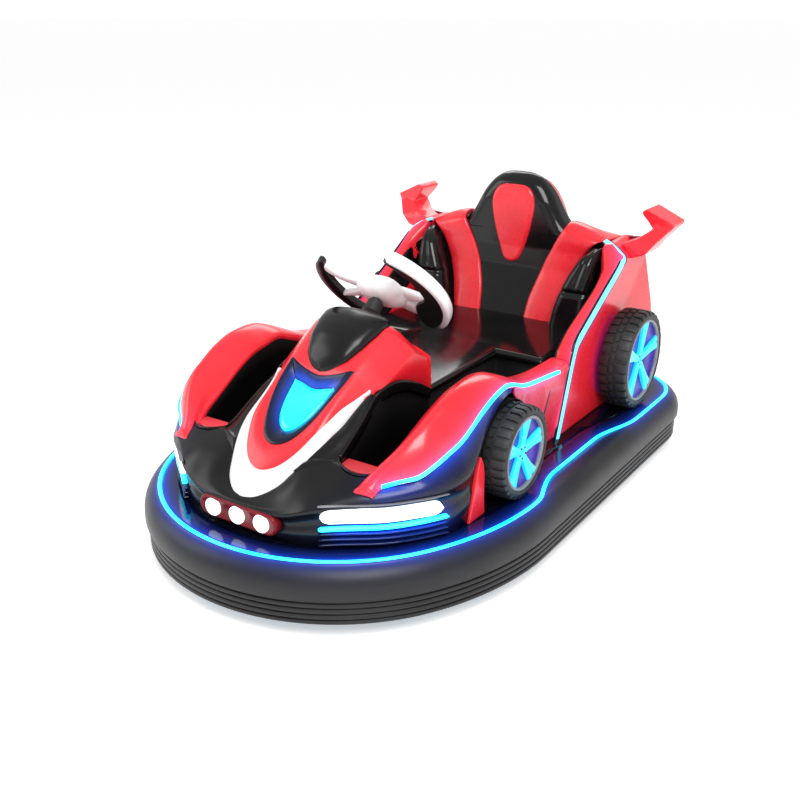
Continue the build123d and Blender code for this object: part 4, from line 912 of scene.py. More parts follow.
def wheel_facts(tyre, rims):
    """Centre (y, z), tyre radius, rim radius and the two side planes of a wheel on the left."""
    low, high = span(tyre)
    rim_low, rim_high = span(rims)
    return dict(y=(low[1] + high[1]) / 2, z=(low[2] + high[2]) / 2, radius=(high[2] - low[2]) / 2,
                rim=(rim_high[2] - rim_low[2]) / 2, x0=low[0], x1=high[0])


FRONT_WHEEL = wheel_facts("front_tyre_left", "front_rims")
REAR_WHEEL = wheel_facts("rear_tyre_left", "rear_rims")
ARCH_RADIUS = FRONT_WHEEL["radius"] + 6.0

# red panel behind the front wheel, under the stripe, up to the quarter's leaning front edge
SILL_X = 386.0
SILL_BELLY = 3.0
SILL_FRONT, SILL_REAR = -214, 180.0
stripe_by_y = [(p[1], p[0]) for p in STRIPE], [(p[1], p[2]) for p in STRIPE]
sill_rows = []
for t in np.linspace(0, 1, 15):
    row = []
    for s in np.linspace(0, 1, 21):
        top_x, top_z = (at(SILL_FRONT + (SILL_REAR - SILL_FRONT) * s, line) for line in stripe_by_y)
        z = DECK_TOP + (top_z - DECK_TOP) * t
        reach = (ARCH_RADIUS + 2) ** 2 - (z - FRONT_WHEEL["z"]) ** 2
        y0 = max(FRONT_WHEEL["y"] + math.sqrt(reach) if reach > 0 else SILL_FRONT, SILL_FRONT)
        y1 = 121 + 57 * max(0.0, z - 236) / 164
        row.append((SILL_X + (top_x - SILL_X) * t ** 1.6 + SILL_BELLY * math.sin(math.pi * t),
                    y0 + (y1 - y0) * s, z))
    sill_rows.append(row)
show(sheets("sill_panels", pair(weave(sill_rows, 2, 2)), glow=GLOW), RED, thick=4.0)

# rounded slots that lean on the sill, as two (y, z) ends: flat dark lozenges whose colour is painted shade of the
# slots' hollows
VENTS = [((18, 236), (62, 366)), ((-18, 262), (8, 338))]
VENT_HALF = 6.0
VENT_DEPTH = 1.8
vent_grids = []
for ends in np.array(VENTS, float):
    length = np.linalg.norm(ends[1] - ends[0])
    along = unit(ends[1] - ends[0])
    across = np.array([along[1], -along[0]])
    sections = []
    for t in np.linspace(0, 1, 15):
        end = min(1.0, min(t, 1 - t) * length / (VENT_HALF * 1.3))
        width = VENT_HALF * max(0.08, math.sqrt(max(0.0, 1 - (1 - end) ** 2)))
        mid = ends[0] + along * length * t
        up = (mid[1] - DECK_TOP) / (402 - DECK_TOP)
        x = SILL_X + 15 * up ** 1.6 + SILL_BELLY * math.sin(math.pi * up)
        sections.append([(x + VENT_DEPTH * s, *(mid + across * width * c)) for c, s in oval(12)])
    vent_grids.append(sections)
show(tubes("sill_vents", pair(*vent_grids)), VENT_SHADE)

# the front wheels' housings in the body, black inside, darkened as painted shade
HOUSING_OUT = 436.0
foot = math.asin(max(-1.0, (DECK_TOP - FRONT_WHEEL["z"]) / ARCH_RADIUS))
tunnel, wall = [], []
for a in np.linspace(foot, math.pi - foot, 49):
    rim, inner = ((FRONT_WHEEL["y"] + r * math.cos(a), FRONT_WHEEL["z"] + r * math.sin(a))
                  for r in (ARCH_RADIUS, 0.3 * ARCH_RADIUS))
    tunnel.append([(SILL_X, *rim), (HOUSING_OUT, *rim)])
    wall.append([(SILL_X, *rim), (SILL_X, *inner)])
show(sheets("front_wheel_housings", pair(tunnel, wall)), CAVITY_SHADE, thick=2.0)

FIN = [(-470, DECK_TOP), (-392, DECK_TOP), (-397, 232), (-398, 300), (-405, 330), (-418, 352), (-428, 335),
       (-452, 250)]
FIN_X = span("side_fins")[1][0]
for side, sign in SIDES:
    x0, x1 = sorted((sign * (FIN_X - 12), sign * FIN_X))
    show(plate(f"side_fin_{side}", FIN, "x", x0, x1, glow=GLOW), RED,
         ["side_fins"] if sign > 0 else [])

# the red tab and the bar at the front of each footwell
TAB = [(184, -606), (296, -606), (292, -640), (276, -652), (252, -658), (228, -657), (204, -650), (188, -640)]
both_plates("foot_tab", TAB, "z", 344, 353, TAB_RED, "red_gloss", bevel=2.5)
BAR_LOW, BAR_HIGH = span("foot_bars")
BAR_IN = 180
bar_y, bar_z = (BAR_LOW[1] + BAR_HIGH[1]) / 2, (BAR_LOW[2] + BAR_HIGH[2]) / 2
bar = [[(x, bar_y + 9 * c, bar_z + 5 * s) for c, s in oval(16)] for x in np.linspace(BAR_IN, BAR_HIGH[0], 9)]
show(tubes("foot_rest_bars", pair(bar)), SATIN, ["foot_bars"])

# ---------------------------------------------------------------- wheels
LUGS = 30
LUG_DEPTH = 6.0
BLADES = 5
# along a blade: share of the way out, half width, and how far its face lies inside the tyre's side
BLADE = ((0.0, 12, -13), (0.2, 11, -11), (0.55, 14, -8), (0.85, 20, -6), (1.0, 25, -5))
# across a blade: share of its half width, and how far behind its face
BLADE_SECTION = ((-1, 12), (-1, 2), (-0.8, 0), (-0.2, 0), (-0.1, 2), (0.1, 2), (0.2, 0), (0.8, 0), (1, 2), (1, 12))


def turned(profile, y, z, count=72, sign=1):
    """Closed profile of (x, radius) turned about the X axis through (y, z)."""
    return np.array([[(sign * x, y + r * c, z + r * s) for x, r in profile] for c, s in oval(count)])


def wheel_tyre(name, facts, sign):
    """Tyre with a rounded carcass, two shoulder rows of blocks and a staggered middle row."""
    x0, x1, radius, rim, y, z = (facts[k] for k in ("x0", "x1", "radius", "rim", "y", "z"))
    core = radius - LUG_DEPTH
    low, high = rim + 0.35 * (core - rim), rim + 0.7 * (core - rim)
    carcass = turned([(x1 - 6, rim - 1), (x1 - 1.5, rim + 3), (x1, low), (x1 - 2, high), (x1 - 8, core - 3),
                      (x1 - 20, core), ((x0 + x1) / 2, core + 1), (x0 + 20, core), (x0 + 8, core - 3),
                      (x0 + 2, high), (x0, low), (x0 + 1.5, rim + 3), (x0 + 6, rim - 1)], y, z, 72, sign)
    side, middle = 0.36 * (x1 - x0), 0.43 * (x1 - x0)
    rows = [([(x1 - side, radius - 0.4), (x1 - 12, radius - 1), (x1 - 4, radius - 5), (x1 - 0.4, radius - 16),
              (x1 - 5, radius - 18), (x1 - 14, core - 4), (x1 - side, core - 3)], 0.0),
            ([(x0 + side, core - 3), (x0 + 14, core - 4), (x0 + 5, radius - 18), (x0 + 0.4, radius - 16),
              (x0 + 4, radius - 5), (x0 + 12, radius - 1), (x0 + side, radius - 0.4)], 0.5),
            ([(x0 + middle, core - 3), (x0 + middle, radius), (x1 - middle, radius),
              (x1 - middle, core - 3)], 0.25)]
    parts = [(carcass, ring_faces(*carcass.shape[:2]))]
    for section, shift in rows:
        for k in range(LUGS):
            block = []
            for step, ease in zip(np.linspace(0.14, 0.80, 4), (0.8, 0, 0, 0.8)):
                a = (k + shift + step) * 2 * math.pi / LUGS
                for x, r in section:
                    r -= ease if r > core else 0
                    block.append((sign * x, y + r * math.cos(a), z + r * math.sin(a)))
            parts.append((block, tube_faces(4, len(section))))
    return shade_by_angle(from_data(name, *gathered(*parts), smooth=False))


def wheel_blades(name, facts, sign):
    """The lit blades and the hub of a wheel."""
    y, z, rim, x1 = (facts[k] for k in ("y", "z", "rim", "x1"))
    parts = []
    for a in np.radians(14 + 360 / BLADES * np.arange(BLADES)):
        radial, tangent = np.array([0, math.cos(a), math.sin(a)]), np.array([0, -math.sin(a), math.cos(a)])
        rows = []
        for t, half, front in BLADE:
            mid = np.array([0, y, z]) + radial * (14 + (rim - 22) * t)
            rows.append([mid + tangent * w * half + [sign * (x1 + front - d), 0, 0] for w, d in BLADE_SECTION])
        parts.append((rows, tube_faces(len(BLADE), len(BLADE_SECTION))))
    hub = turned([(x1 - 34, 2), (x1 - 34, 25), (x1 - 16, 25), (x1 - 13, 21), (x1 - 13, 9), (x1 - 17, 7),
                  (x1 - 17, 2)], y, z, 32, sign)
    parts.append((hub, ring_faces(*hub.shape[:2])))
    return shade_by_angle(from_data(name, *gathered(*parts)))


def wheel_bolts(name, facts, sign):
    """Bolt heads round the hub."""
    y, z, x1 = (facts[k] for k in ("y", "z", "x1"))
    grids = [[[(sign * (x1 - d), y + 15.5 * math.cos(a) + r * c, z + 15.5 * math.sin(a) + r * s)
               for c, s in oval(8)] for r, d in ((3.0, 14), (3.0, 11.6), (2.0, 11.2))]
             for a in np.radians(50 + 360 / BLADES * np.arange(BLADES))]
    return tubes(name, grids)


for place, facts, seat in (("front", FRONT_WHEEL, FRONT_WHEEL["x0"]), ("rear", REAR_WHEEL, QUARTER_X)):
    y, z, rim, x1 = (facts[k] for k in ("y", "z", "rim", "x1"))
    edge = [(x1 - 14, rim + 1), (x1 - 4, rim + 0.5), (x1 - 2, rim - 1), (x1 - 2, rim - 6), (x1 - 4, rim - 8.5),
            (x1 - 14, rim - 9)]
    dish = [(x1 - 11, rim - 7), (x1 - 20, rim * 0.62), (x1 - 24, 18), (x1 - 60, 18), (seat, 18), (seat, 55),
            (x1 - 70, rim * 0.6), (x1 - 80, rim - 2), (x1 - 60, rim + 0.5), (x1 - 15, rim + 0.5)]
    for side, sign in SIDES:
        show(wheel_tyre(f"{place}_tyre_tread_{side}", facts, sign), TYRE, [f"{place}_tyre_{side}"])
    show(rings(f"{place}_rim_edges", [turned(edge, y, z, 72, sign) for _, sign in SIDES]), RIM_GREY,
         [f"{place}_rims"])
    show(rings(f"{place}_rim_dishes", [turned(dish, y, z, 72, sign) for _, sign in SIDES]), DISH)
    for side, sign in SIDES:
        show(wheel_blades(f"{place}_spokes_{side}", facts, sign), SPOKE, bevel=1.0, angle=40)
        show(wheel_bolts(f"{place}_wheel_bolts_{side}", facts, sign), GRIP)

# ---------------------------------------------------------------- running gear under the deck
for name, body in (("drive", "drive_wheel"), ("road_left", "road_wheel_left"), ("road_right", "road_wheel_right")):
    low, high = span(f"{name}_tyre")
    hub_low, hub_high = span(f"{name}_hub")
    y, z, radius = (low[1] + high[1]) / 2, (low[2] + high[2]) / 2, (high[2] - low[2]) / 2
    x0, x1, rim = low[0], high[0], (hub_high[2] - hub_low[2]) / 2
    mid = (x0 + x1) / 2
    tyre = [(x0, rim + 1), (x0, radius - 12), (x0 + 3, radius - 4), (x0 + 12, radius), (mid - 4, radius),
            (mid - 3, radius - 4), (mid + 3, radius - 4), (mid + 4, radius), (x1 - 12, radius),
            (x1 - 3, radius - 4), (x1, radius - 12), (x1, rim + 1)]
    hub = [(x0 + 3, 13), (x0 + 3, 24), (x0 + 12, 27), (x0 + 12, rim - 6), (x0 + 3, rim - 4), (x0 + 3, rim),
           (x1 - 3, rim), (x1 - 3, rim - 4), (x1 - 12, rim - 6), (x1 - 12, 27), (x1 - 3, 24), (x1 - 3, 13)]
    for part, profile, count, paint, slot in (("tyre", tyre, 64, TYRE, "tyre"), ("hub", hub, 48, RIM_GREY, "rim")):
        show(shade_by_angle(rings(f"{name}_wheel_{part}", [turned(profile, y, z, count)])), paint,
             [f"{name}_{part}"], body)

# ---------------------------------------------------------------- rear quarters
# the quarter's outline from the side as (y, z), and the top's inner edge as (y, x)
QUARTER = [(792, DECK_TOP), (792, 380), (780, 470), (738, 628), (690, 636), (640, 643), (545, 655),
           (228, 464), (196, 440), (178, 400), (121, 236), (121, DECK_TOP)]
QUARTER_ROOF = QUARTER[2:10]
INNER_EDGE = [(150, 352), (190, 353), (264, 350), (400, 361), (486, 360), (510, 346), (528, 332),
              (540, PILLAR_IN)]
EDGE_DROP = 90.0
FLARE = 22.0
FLARE_CREASE = ((582, 495), (731, 619))
SHOULDER_RISE = [(440, 0), (545, 32), (690, 56), (738, 56), (780, 0)]


def dressed_quarter(x, y, z):
    """Place on the left quarter once its inner edge, its flare and its shoulder are shaped."""
    drop = at(y, QUARTER_ROOF) - z
    k = (at(y, INNER_EDGE) - PILLAR_IN) / (QUARTER_X - PILLAR_IN) * max(0.0, 1 - max(drop, 0) / EDGE_DROP)
    x = QUARTER_X - (QUARTER_X - x) * (1 - k)
    inward = (QUARTER_X - x) / (QUARTER_X - PILLAR_IN)
    z += min(1.5 * inward, 1.0) * at(y, SHOULDER_RISE) * np.interp(drop, [0, EDGE_DROP], [1, 0])
    (y0, z0), (y1, z1) = FLARE_CREASE
    length = math.hypot(y1 - y0, z1 - z0)
    behind = ((y - y0) * (z1 - z0) - (z - z0) * (y1 - y0)) / length
    out = FLARE * min(max(behind, 0) / length, max(y - 560, 0) / 232)
    return x + out * (1 - inward), y, z


for side, sign in SIDES:
    piece = plate(f"rear_quarter_{side}", QUARTER, "x", PILLAR_IN, QUARTER_X, bevel=9.0, glow=GLOW, size=18.0)
    show(reshape(piece, dressed_quarter, sign), RED, [f"side_body_{side}"])

# black lining between the quarter's inner edge and the seat
lining_rows = []
for y in np.linspace(182, 536, 43):
    edge, top = at(y, INNER_EDGE), at(y, QUARTER_ROOF)
    lining_rows.append([(edge + 1, y, top - 8), (edge - 4, y, top - 6),
                        (edge - 0.5 * (edge - PILLAR_IN) - 3, y, top - 48), (PILLAR_IN - 3, y, top - EDGE_DROP)])
show(sheets("seat_side_linings", pair(weave(lining_rows, 1, 4))), SEAT, thick=2.0)

# low strake behind the shoulder, dark red as painted shade: a face that lies in shadow
STRAKE = [(236, 679), (393, 694), (396, 640), (345, 640), (300, 655)]
both_plates("shoulder_strake", STRAKE, "y", 684, 694, DARK_RED_AND_SHADE, "red_gloss", bevel=2.0)

STRIP_HALF = 8.5
STRIP_SINK = 5.0


def edge_strip(width, proud):
    """Closed sections of a flat strip along the quarter's line of light, facing outwards and forwards."""
    pts = resample(spline(SIDE_LIGHT, 12), 160)
    sections = []
    for k, p in enumerate(pts):
        ahead = unit(way_on(pts, k))
        turn = np.interp(p[1], [210, 250, 528, 548], [0.0, 0.3, 0.3, 0.8])
        half = np.interp(p[1], [200, 260], [1.3 * width, width])
        facing = np.array([1.0 - turn, -0.5 * turn, 0.86 * turn])
        facing = unit(facing - ahead * (facing @ ahead))
        across = np.cross(ahead, facing)
        sections.append([p + across * w * half + facing * h for w, h in
                         ((-1, -STRIP_SINK), (-1, proud - 0.8), (-0.7, proud), (0.7, proud), (1, proud - 0.8),
                          (1, -STRIP_SINK))])
    return sections


show(tubes("side_strip_edges", pair(edge_strip(STRIP_HALF + 3.5, 1.6))), NAVY)
show(tubes("side_strip_lights", pair(edge_strip(STRIP_HALF, 3.0))), STRIP_SOFT, ["side_lights"])

# ---------------------------------------------------------------- tail
REAR_ROOF = [(655, 690), (700, 660), (741, 628), (790, 588), (840, 548), (885, 510), (905, 494), (918, 474)]
TAIL_FOOT = [(920, 440), (920, 320), (920, DECK_TOP)]
TAIL_SIDE = [(x, y) for x, y in ring_outline(DECK_INSET + 16) if y > 100 and x > 0]

roof = []
for y, z in spline(REAR_ROOF, 4).tolist() + TAIL_FOOT:
    half = min(PILLAR_IN - 0.5, at(min(y, 908), TAIL_SIDE, first=1))
    roof.append([(half * s, y - 26 * abs(s) ** 5 * (y > 880), z - 10 * abs(s) ** 6)
                 for s in np.linspace(-1, 1, 41)])
flanks = [[[row[side], (*row[side][:2], DECK_TOP)] for row in roof] for side in (0, -1)]
show(sheets("tail_cover", [roof, *flanks]), RED, ["rear_cover"], thick=5.0, bevel=3.0, angle=45)

# the spine that falls away behind the head rest, as (y, z, half width)
SPINE = [(640, 858, 150), (665, 853, 150), (690, 838, 149), (714, 802, 147), (735, 760, 145), (770, 688, 140),
         (806, 612, 130), (840, 548, 118), (862, 522, 104)]
spine_rows = []
for y, z, half in spline(SPINE, 3):
    base = at(y, REAR_ROOF)
    spine_rows.append([(half * s, y, base - 6 + (z + 4 - base + 6) * max(0.0, 1 - abs(s) ** 3.2) ** 0.75)
                       for s in np.linspace(-1, 1, 33)])
show(sheets("head_fairing", [spine_rows]), RED, thick=4.0, bevel=2.0, angle=45)

TAIL_LOW, TAIL_HIGH = span("tail_lamps")
TAIL_X = (112, 288)
tail_rows = []
for t in np.linspace(0, 1, 25):
    x = TAIL_X[0] + (TAIL_X[1] - TAIL_X[0]) * t
    y = at(x, [p for p in TAIL_SIDE if p[0] < 300])
    end = min(1.0, min(t, 1 - t) / 0.08)
    half = 0.5 * (TAIL_HIGH[2] - TAIL_LOW[2]) * max(0.1, math.sqrt(1 - (1 - end) ** 2))
    mid = (TAIL_HIGH[2] + TAIL_LOW[2]) / 2
    tail_rows.append([(x, y + 1.5 + 2.5 * c, mid + half * s) for c, s in oval(16)])
show(tubes("tail_lamp_lenses", pair(tail_rows)), TAIL, ["tail_lamps"])

# the left fin from the front as (x, z), and its front and rear edges as (z, y)
WING = [(366, 684), (399, 640), (444, 656), (513, 742), (513, 752), (424, 793), (409, 781), (414, 770),
        (447, 731), (408, 700)]
WING_FRONT = [(600, 596), (688, 596), (738, 646), (800, 630)]
WING_REAR = [(600, 724), (650, 724), (694, 694), (742, 742), (800, 742)]
FIN_FRONT, FIN_REAR = (corner[1] for corner in span("wing_left"))


def leaning_fin(x, y, z):
    """Place on the left fin once its front and rear edges lean."""
    front, rear = at(z, WING_FRONT), at(z, WING_REAR)
    return x, front + (y - FIN_FRONT) / (FIN_REAR - FIN_FRONT) * (rear - front), z


for side, sign in SIDES:
    piece = plate(f"rear_fin_{side}", WING, "y", FIN_FRONT, FIN_REAR, bevel=4.0, glow=GLOW)
    show(reshape(piece, leaning_fin, sign), RED, [f"wing_{side}"])

# ---------------------------------------------------------------- seat
SEAT_ROUND = 10.0


def rolled(gap, radius):
    """How far a surface has turned away at a gap from its edge, for a rounded edge."""
    left = radius - min(gap, radius)
    return radius - math.sqrt(max(radius ** 2 - left ** 2, 0.0))


def crowded(start, end, count):
    """Places from start to end that crowd towards both ends."""
    return start + (end - start) * (0.35 * np.linspace(0, 1, count)
                                    + 0.65 * (0.5 - 0.5 * np.cos(np.linspace(0, math.pi, count))))


def cushion(name, x_half, y0, y1, low, top, open_rear=False, crown=7.0):
    """Pad over a rectangle, centred across the car, with rounded and drawn-in sides and a crowned top."""
    rows = []
    for y in crowded(y0, y1, 31):
        v = (y - y0) / (y1 - y0)
        swell = 1 - (1 - v) ** 4 if open_rear else 1 - (2 * v - 1) ** 4
        row = []
        for x in crowded(-x_half, x_half, 37):
            gap = min(x_half - abs(x), y - y0, 1e6 if open_rear else y1 - y)
            lift = crown * (1 - (x / x_half) ** 4) * swell
            row.append((x, y, top - crown + lift - rolled(gap, SEAT_ROUND)))
        rows.append(row)
    grid = np.array(rows)
    rim = np.vstack([grid[0], grid[1:, -1], grid[-1, -2::-1], grid[-2:0:-1, 0]])
    inward = unit((np.array([0, (y0 + y1) / 2, 0]) - rim) * [1, 1, 0])
    skirt = []
    for t, pull in ((0.0, 0.0), (0.35, -0.6), (0.75, 1.2), (1.0, 5.0)):
        ring = rim + inward * pull
        ring[:, 2] = rim[:, 2] - (rim[:, 2] - low) * t
        skirt.append(ring)
    count = len(rim)
    base = [tuple(range((len(skirt) - 1) * count, len(skirt) * count))]
    return from_data(name, *gathered((grid, grid_faces(*grid.shape[:2])),
                                     (skirt, grid_faces(len(skirt), count, close_columns=True) + base)))


PAD_LOW = SEAT_TOP - 30.0
BENCH_REAR = 560
show(cushion("seat_bench_pad", PILLAR_IN - 1, BENCH_LOW[1], BENCH_REAR, PAD_LOW, SEAT_TOP), SEAT,
     ["seat_bench"])
show(cushion("seat_saddle_pad", SADDLE_HIGH[0], SADDLE_LOW[1], BENCH_LOW[1] + 26, PAD_LOW, SEAT_TOP,
             open_rear=True), SEAT, ["seat_saddle"])
base_half = PILLAR_IN - 8
base = [(-base_half, 166), (-164, 166), (-164, -214), (164, -214), (164, 166), (base_half, 166),
        (base_half, BENCH_REAR), (-base_half, BENCH_REAR)]
show(plate("seat_base", base, "z", DECK_TOP, PAD_LOW + 6, bevel=4.0), SATIN)

# the backrest's faces as (y, z), and its half outline as (x, z)
FACE_LINE = [(494, 405), (512, 462), (534, 524), (549, 575), (555, 640), (553, 720), (552, 790), (558, 845),
             (566, 878)]
REAR_LINE = [(600, 405), (618, 470), (640, 560), (653, 640), (652, 700), (648, 780), (640, 840), (622, 878)]
BACK_HALF = [(326, 405), (326, 540), (326, 640), (320, 662), (293, 682), (250, 692), (206, 703), (184, 717),
             (166, 738), (151, 762), (139, 784), (123, 813), (104, 838), (84, 857), (60, 871), (32, 877),
             (1.0, 878)]


def face_y(z):
    """Front face of the backrest at a height."""
    return at(z, FACE_LINE, first=1)


def distance_to(points, line):
    """Shortest distance from each point to a polyline, all in a plane."""
    best = np.full(len(points), 1e9)
    for start, way in zip(line[:-1], np.diff(line, axis=0)):
        t = np.clip(((points - start) @ way) / max(way @ way, 1e-9), 0, 1)
        best = np.minimum(best, np.linalg.norm(points - start - t[:, None] * way, axis=1))
    return best


def pad_skins(half_outline, front, behind, radius, columns=41):
    """Front and rear skins of a form from its half outline (x, z), rolled back at the outline."""
    rail = resample(spline(half_outline, 8), 90)
    whole_line = np.vstack([rail, (rail * [-1, 1])[::-1]])
    shares = np.sin(np.linspace(-1, 1, columns) * math.pi / 2)
    skins = []
    for facing, surface, round_off in ((1, front, radius), (-1, behind, radius * 0.6)):
        rows = []
        for w, z in rail:
            points = np.column_stack([shares * w, np.full(columns, z)])
            rows.append([(x, surface(x, z) + facing * rolled(gap, round_off), z)
                         for (x, _), gap in zip(points, distance_to(points, whole_line))])
        skins.append(rows)
    return skins


def closed_pad(name, skins):
    """One closed object from a front and a rear skin with shared borders."""
    rows, columns = np.shape(skins)[1:3]
    index = np.arange(rows * columns).reshape(rows, columns)
    border = np.concatenate([index[0], index[1:, -1], index[-1, -2::-1], index[-2:0:-1, 0]]).tolist()
    verts, faces = gathered(*((grid, grid_faces(rows, columns)) for grid in skins))
    faces += [(a, b, rows * columns + b, rows * columns + a) for a, b in zip(border, border[1:] + border[:1])]
    return from_data(name, verts, faces)


back_skins = pad_skins(BACK_HALF, lambda x, z: face_y(z) + 10 * (abs(x) / 326) ** 3 * (z < 690),
                       lambda x, z: at(z, REAR_LINE, first=1), 40.0)
show(closed_pad("backrest_pad", back_skins), SEAT, ["backrest"])

INSERT_HALF = [(1.0, 587), (16, 590), (30, 603), (42, 630), (54, 664), (67, 712), (76, 760), (77, 786),
               (71, 812), (56, 832), (34, 841), (14, 842), (1.0, 842)]
insert_skins = pad_skins(INSERT_HALF, lambda x, z: face_y(z) - 9.0, lambda x, z: face_y(z) + 5.0, 10.0,
                         columns=33)
show(closed_pad("headrest_insert_pad", insert_skins), SEAT_RED, ["headrest_insert"])

# the two red bands of the seat: inner rail and outer rail as (x, y offset from the face, z)
BAND_IN = [(82, 0, 408), (86, 0, 450), (90, 0, 485), (105, 0, 540), (125, 0, 600), (148, 0, 650),
           (170, 0, 692), (184, 6, 716), (188, 32, 729), (186, 66, 729), (182, 103, 712), (182, 138, 690)]
BAND_OUT = [(182, 0, 408), (191, 0, 450), (200, 0, 485), (215, 0, 534), (237, 0, 589), (263, 0, 642),
            (284, 0, 669), (302, 10, 684), (322, 36, 691), (327, 66, 692), (327, 103, 690), (327, 138, 688)]
# across a band: share of its width, and how far it stands up along the seat and on the shoulder
BAND_SECTION = [(0.0, -6, -6), (0.0, 3, 3), (0.04, 8, 7), (0.14, 10.5, 10), (0.32, 12, 11),
                (0.5, 12.5, 10), (0.68, 12, 7), (0.86, 10.5, 3), (0.96, 8, 1), (1.0, 3, 0), (1.0, -6, -6)]
band_rows = []
for (xi, back, zi), (xo, _, zo) in zip(spline(BAND_IN, 5), spline(BAND_OUT, 5)):
    lift = np.interp(back, [0, 30], [0, 1])
    row = []
    for t, along_seat, on_shoulder in BAND_SECTION:
        z = zi + (zo - zi) * t
        row.append((xi + (xo - xi) * t, face_y(min(z, 690)) + back - along_seat * (1 - lift),
                    z + on_shoulder * lift * 0.9))
    band_rows.append(row)
for (side, sign), grid in zip(SIDES, pair(band_rows)):
    show(tubes(f"seat_band_{side}", [weave(grid, 1, 2)]), SEAT_RED,
         ["seat_straps"] if sign > 0 else [])

# the side bolsters, with a sewn channel across them, as (y, z) and (x, z)
BOLSTER_FRONT = [(438, 408), (441, 470), (450, 540), (462, 590), (478, 630), (496, 652), (520, 668), (560, 677)]
BOLSTER_IN = [(190, 408), (196, 460), (203, 492), (216, 536), (238, 590), (264, 642), (296, 670)]
bolster_rows, bolster_back = [], []
for z in np.linspace(408, 672, 67):
    x_in, x_out = at(z, BOLSTER_IN, first=1) + 2, PILLAR_IN - 1.5
    seam = 9.0 * math.exp(-((z - 538) / 7.0) ** 2)
    row = []
    for s in 0.5 - 0.5 * np.cos(np.linspace(0, math.pi, 21)):
        x = x_in + (x_out - x_in) * s
        depth = rolled(min(x - x_in, x_out - x, 676 - z), 26)
        fold = 5.0 * math.exp(-((x - 0.5 * (x_in + x_out)) / 5.0) ** 2) * (z > 545) * min(1, (z - 545) / 20)
        front = at(z, BOLSTER_FRONT, first=1) + depth * 1.5 + seam + fold
        row.append((x, min(front, face_y(z) + 3), z))
    bolster_rows.append(row)
    bolster_back.append([(x, face_y(z) + 6, z) for x, _, _ in row])
bolster_skins = np.array([bolster_rows, bolster_back])
for (side, sign), skins in zip(SIDES, pair(bolster_skins)):
    show(closed_pad(f"seat_bolster_{side}", skins), SEAT,
         ["seat_bolsters"] if sign > 0 else [])

# ---------------------------------------------------------------- steering wheel
WHEEL_CENTRE = np.array([0, -192, 660])
TILT = math.radians(42.5)
ACROSS = np.array([1.0, 0, 0])
UP = np.array([0, -math.sin(TILT), math.cos(TILT)])
OUT = np.array([0, math.cos(TILT), math.sin(TILT)])
SQUARED = 0.7


def wheel_point(u, v, h):
    """Point of the steering wheel: across the car, up the wheel's plane, towards the driver."""
    return WHEEL_CENTRE + ACROSS * u + UP * v + OUT * h


def polar(*spots):
    """Points of the wheel's plane from angles in degrees and radii."""
    return [(r * math.cos(math.radians(a)), r * math.sin(math.radians(a))) for a, r in spots]


def rim_sweep(name, first, last, radii, low, high, taper):
    """Part of the rim between two angles in degrees, with rounded section and ends that run out.

    radii gives the inner and outer radius at a share of the way, taper the degrees that each end runs out in.
    """
    sections = []
    for t in np.linspace(0, 1, 49):
        a = first + (last - first) * t
        end = min(1.0, (a - first) / taper[0], (last - a) / taper[1])
        size = max(0.05, math.sqrt(1 - (1 - end) ** 2))
        inner, outer = radii(t)
        mid_r, half_r = (inner + outer) / 2, (outer - inner) / 2 * size
        mid_h, half_h = (low + high) / 2, (high - low) / 2 * (0.35 + 0.65 * size)
        sections.append([wheel_point(*polar((a, mid_r + half_r * c))[0], mid_h + half_h * s)
                         for c, s in oval(24, SQUARED)])
    return tubes(name, [sections])


def blade(path, halves, low, high):
    """Sections of a tapering arm of the wheel along a path in its plane."""
    line = spline([(*spot, w) for spot, w in zip(path, halves)], 6)
    sections = []
    for k, (u, v, h, w) in enumerate(line):
        ahead = unit(way_on(line, k)[:2])
        thin = min(1.0, w / 8 + 0.25)
        sections.append([wheel_point(u - ahead[1] * w * c, v + ahead[0] * w * c,
                                     h + (low + high) / 2 + (high - low) / 2 * s * thin)
                         for c, s in oval(16, SQUARED)])
    return sections


show(rim_sweep("wheel_rim_white", -50, 62, lambda t: (183, 204), -20, 16, (16, 5)), WHITE,
     ["steering_wheel"], "steering")

# the black inner rim on the left widens downwards into a hand rest
GRIP_LEFT = polar(*[(a, 186) for a in range(63, -55, -6)], (-55, 180), (-58, 165), (-56, 146), (-50, 128),
                  (-38, 110), (-24, 104), (-14, 112), (-4, 136), (6, 146), (20, 152), (36, 160), (50, 168),
                  (60, 176))
BUTTON = [(139 + 15 * c, -58 + 11 * s + 7 * c) for c, s in oval(24)]
for name, outline, low, high, edge, paint, slot, nodes in (
        ("wheel_grip_left", GRIP_LEFT, -19, 8, 4.0, GRIP, "grip_black", ["steering_grips"]),
        ("wheel_button", BUTTON, 4, 12.5, 2.5, WHITE, "white_gloss", [])):
    piece = plate(name, outline, "z", low, high, bevel=edge, segments=4)
    show(reshape(piece, wheel_point), paint, nodes, "steering")
show(rim_sweep("wheel_grip_right", 143, 240,
               lambda t: (172 - 4 * math.sin(math.pi * t), 206 - 6 * abs(2 * t - 1) ** 3), -20, 10, (16, 8)),
     GRIP, (), "steering")

HUB_LOBES = polar((0, 62), (20, 66), (45, 68), (75, 58), (100, 54), (130, 62), (155, 70), (180, 66), (205, 66),
                  (230, 68), (255, 60), (270, 54), (290, 58), (315, 68), (340, 66))
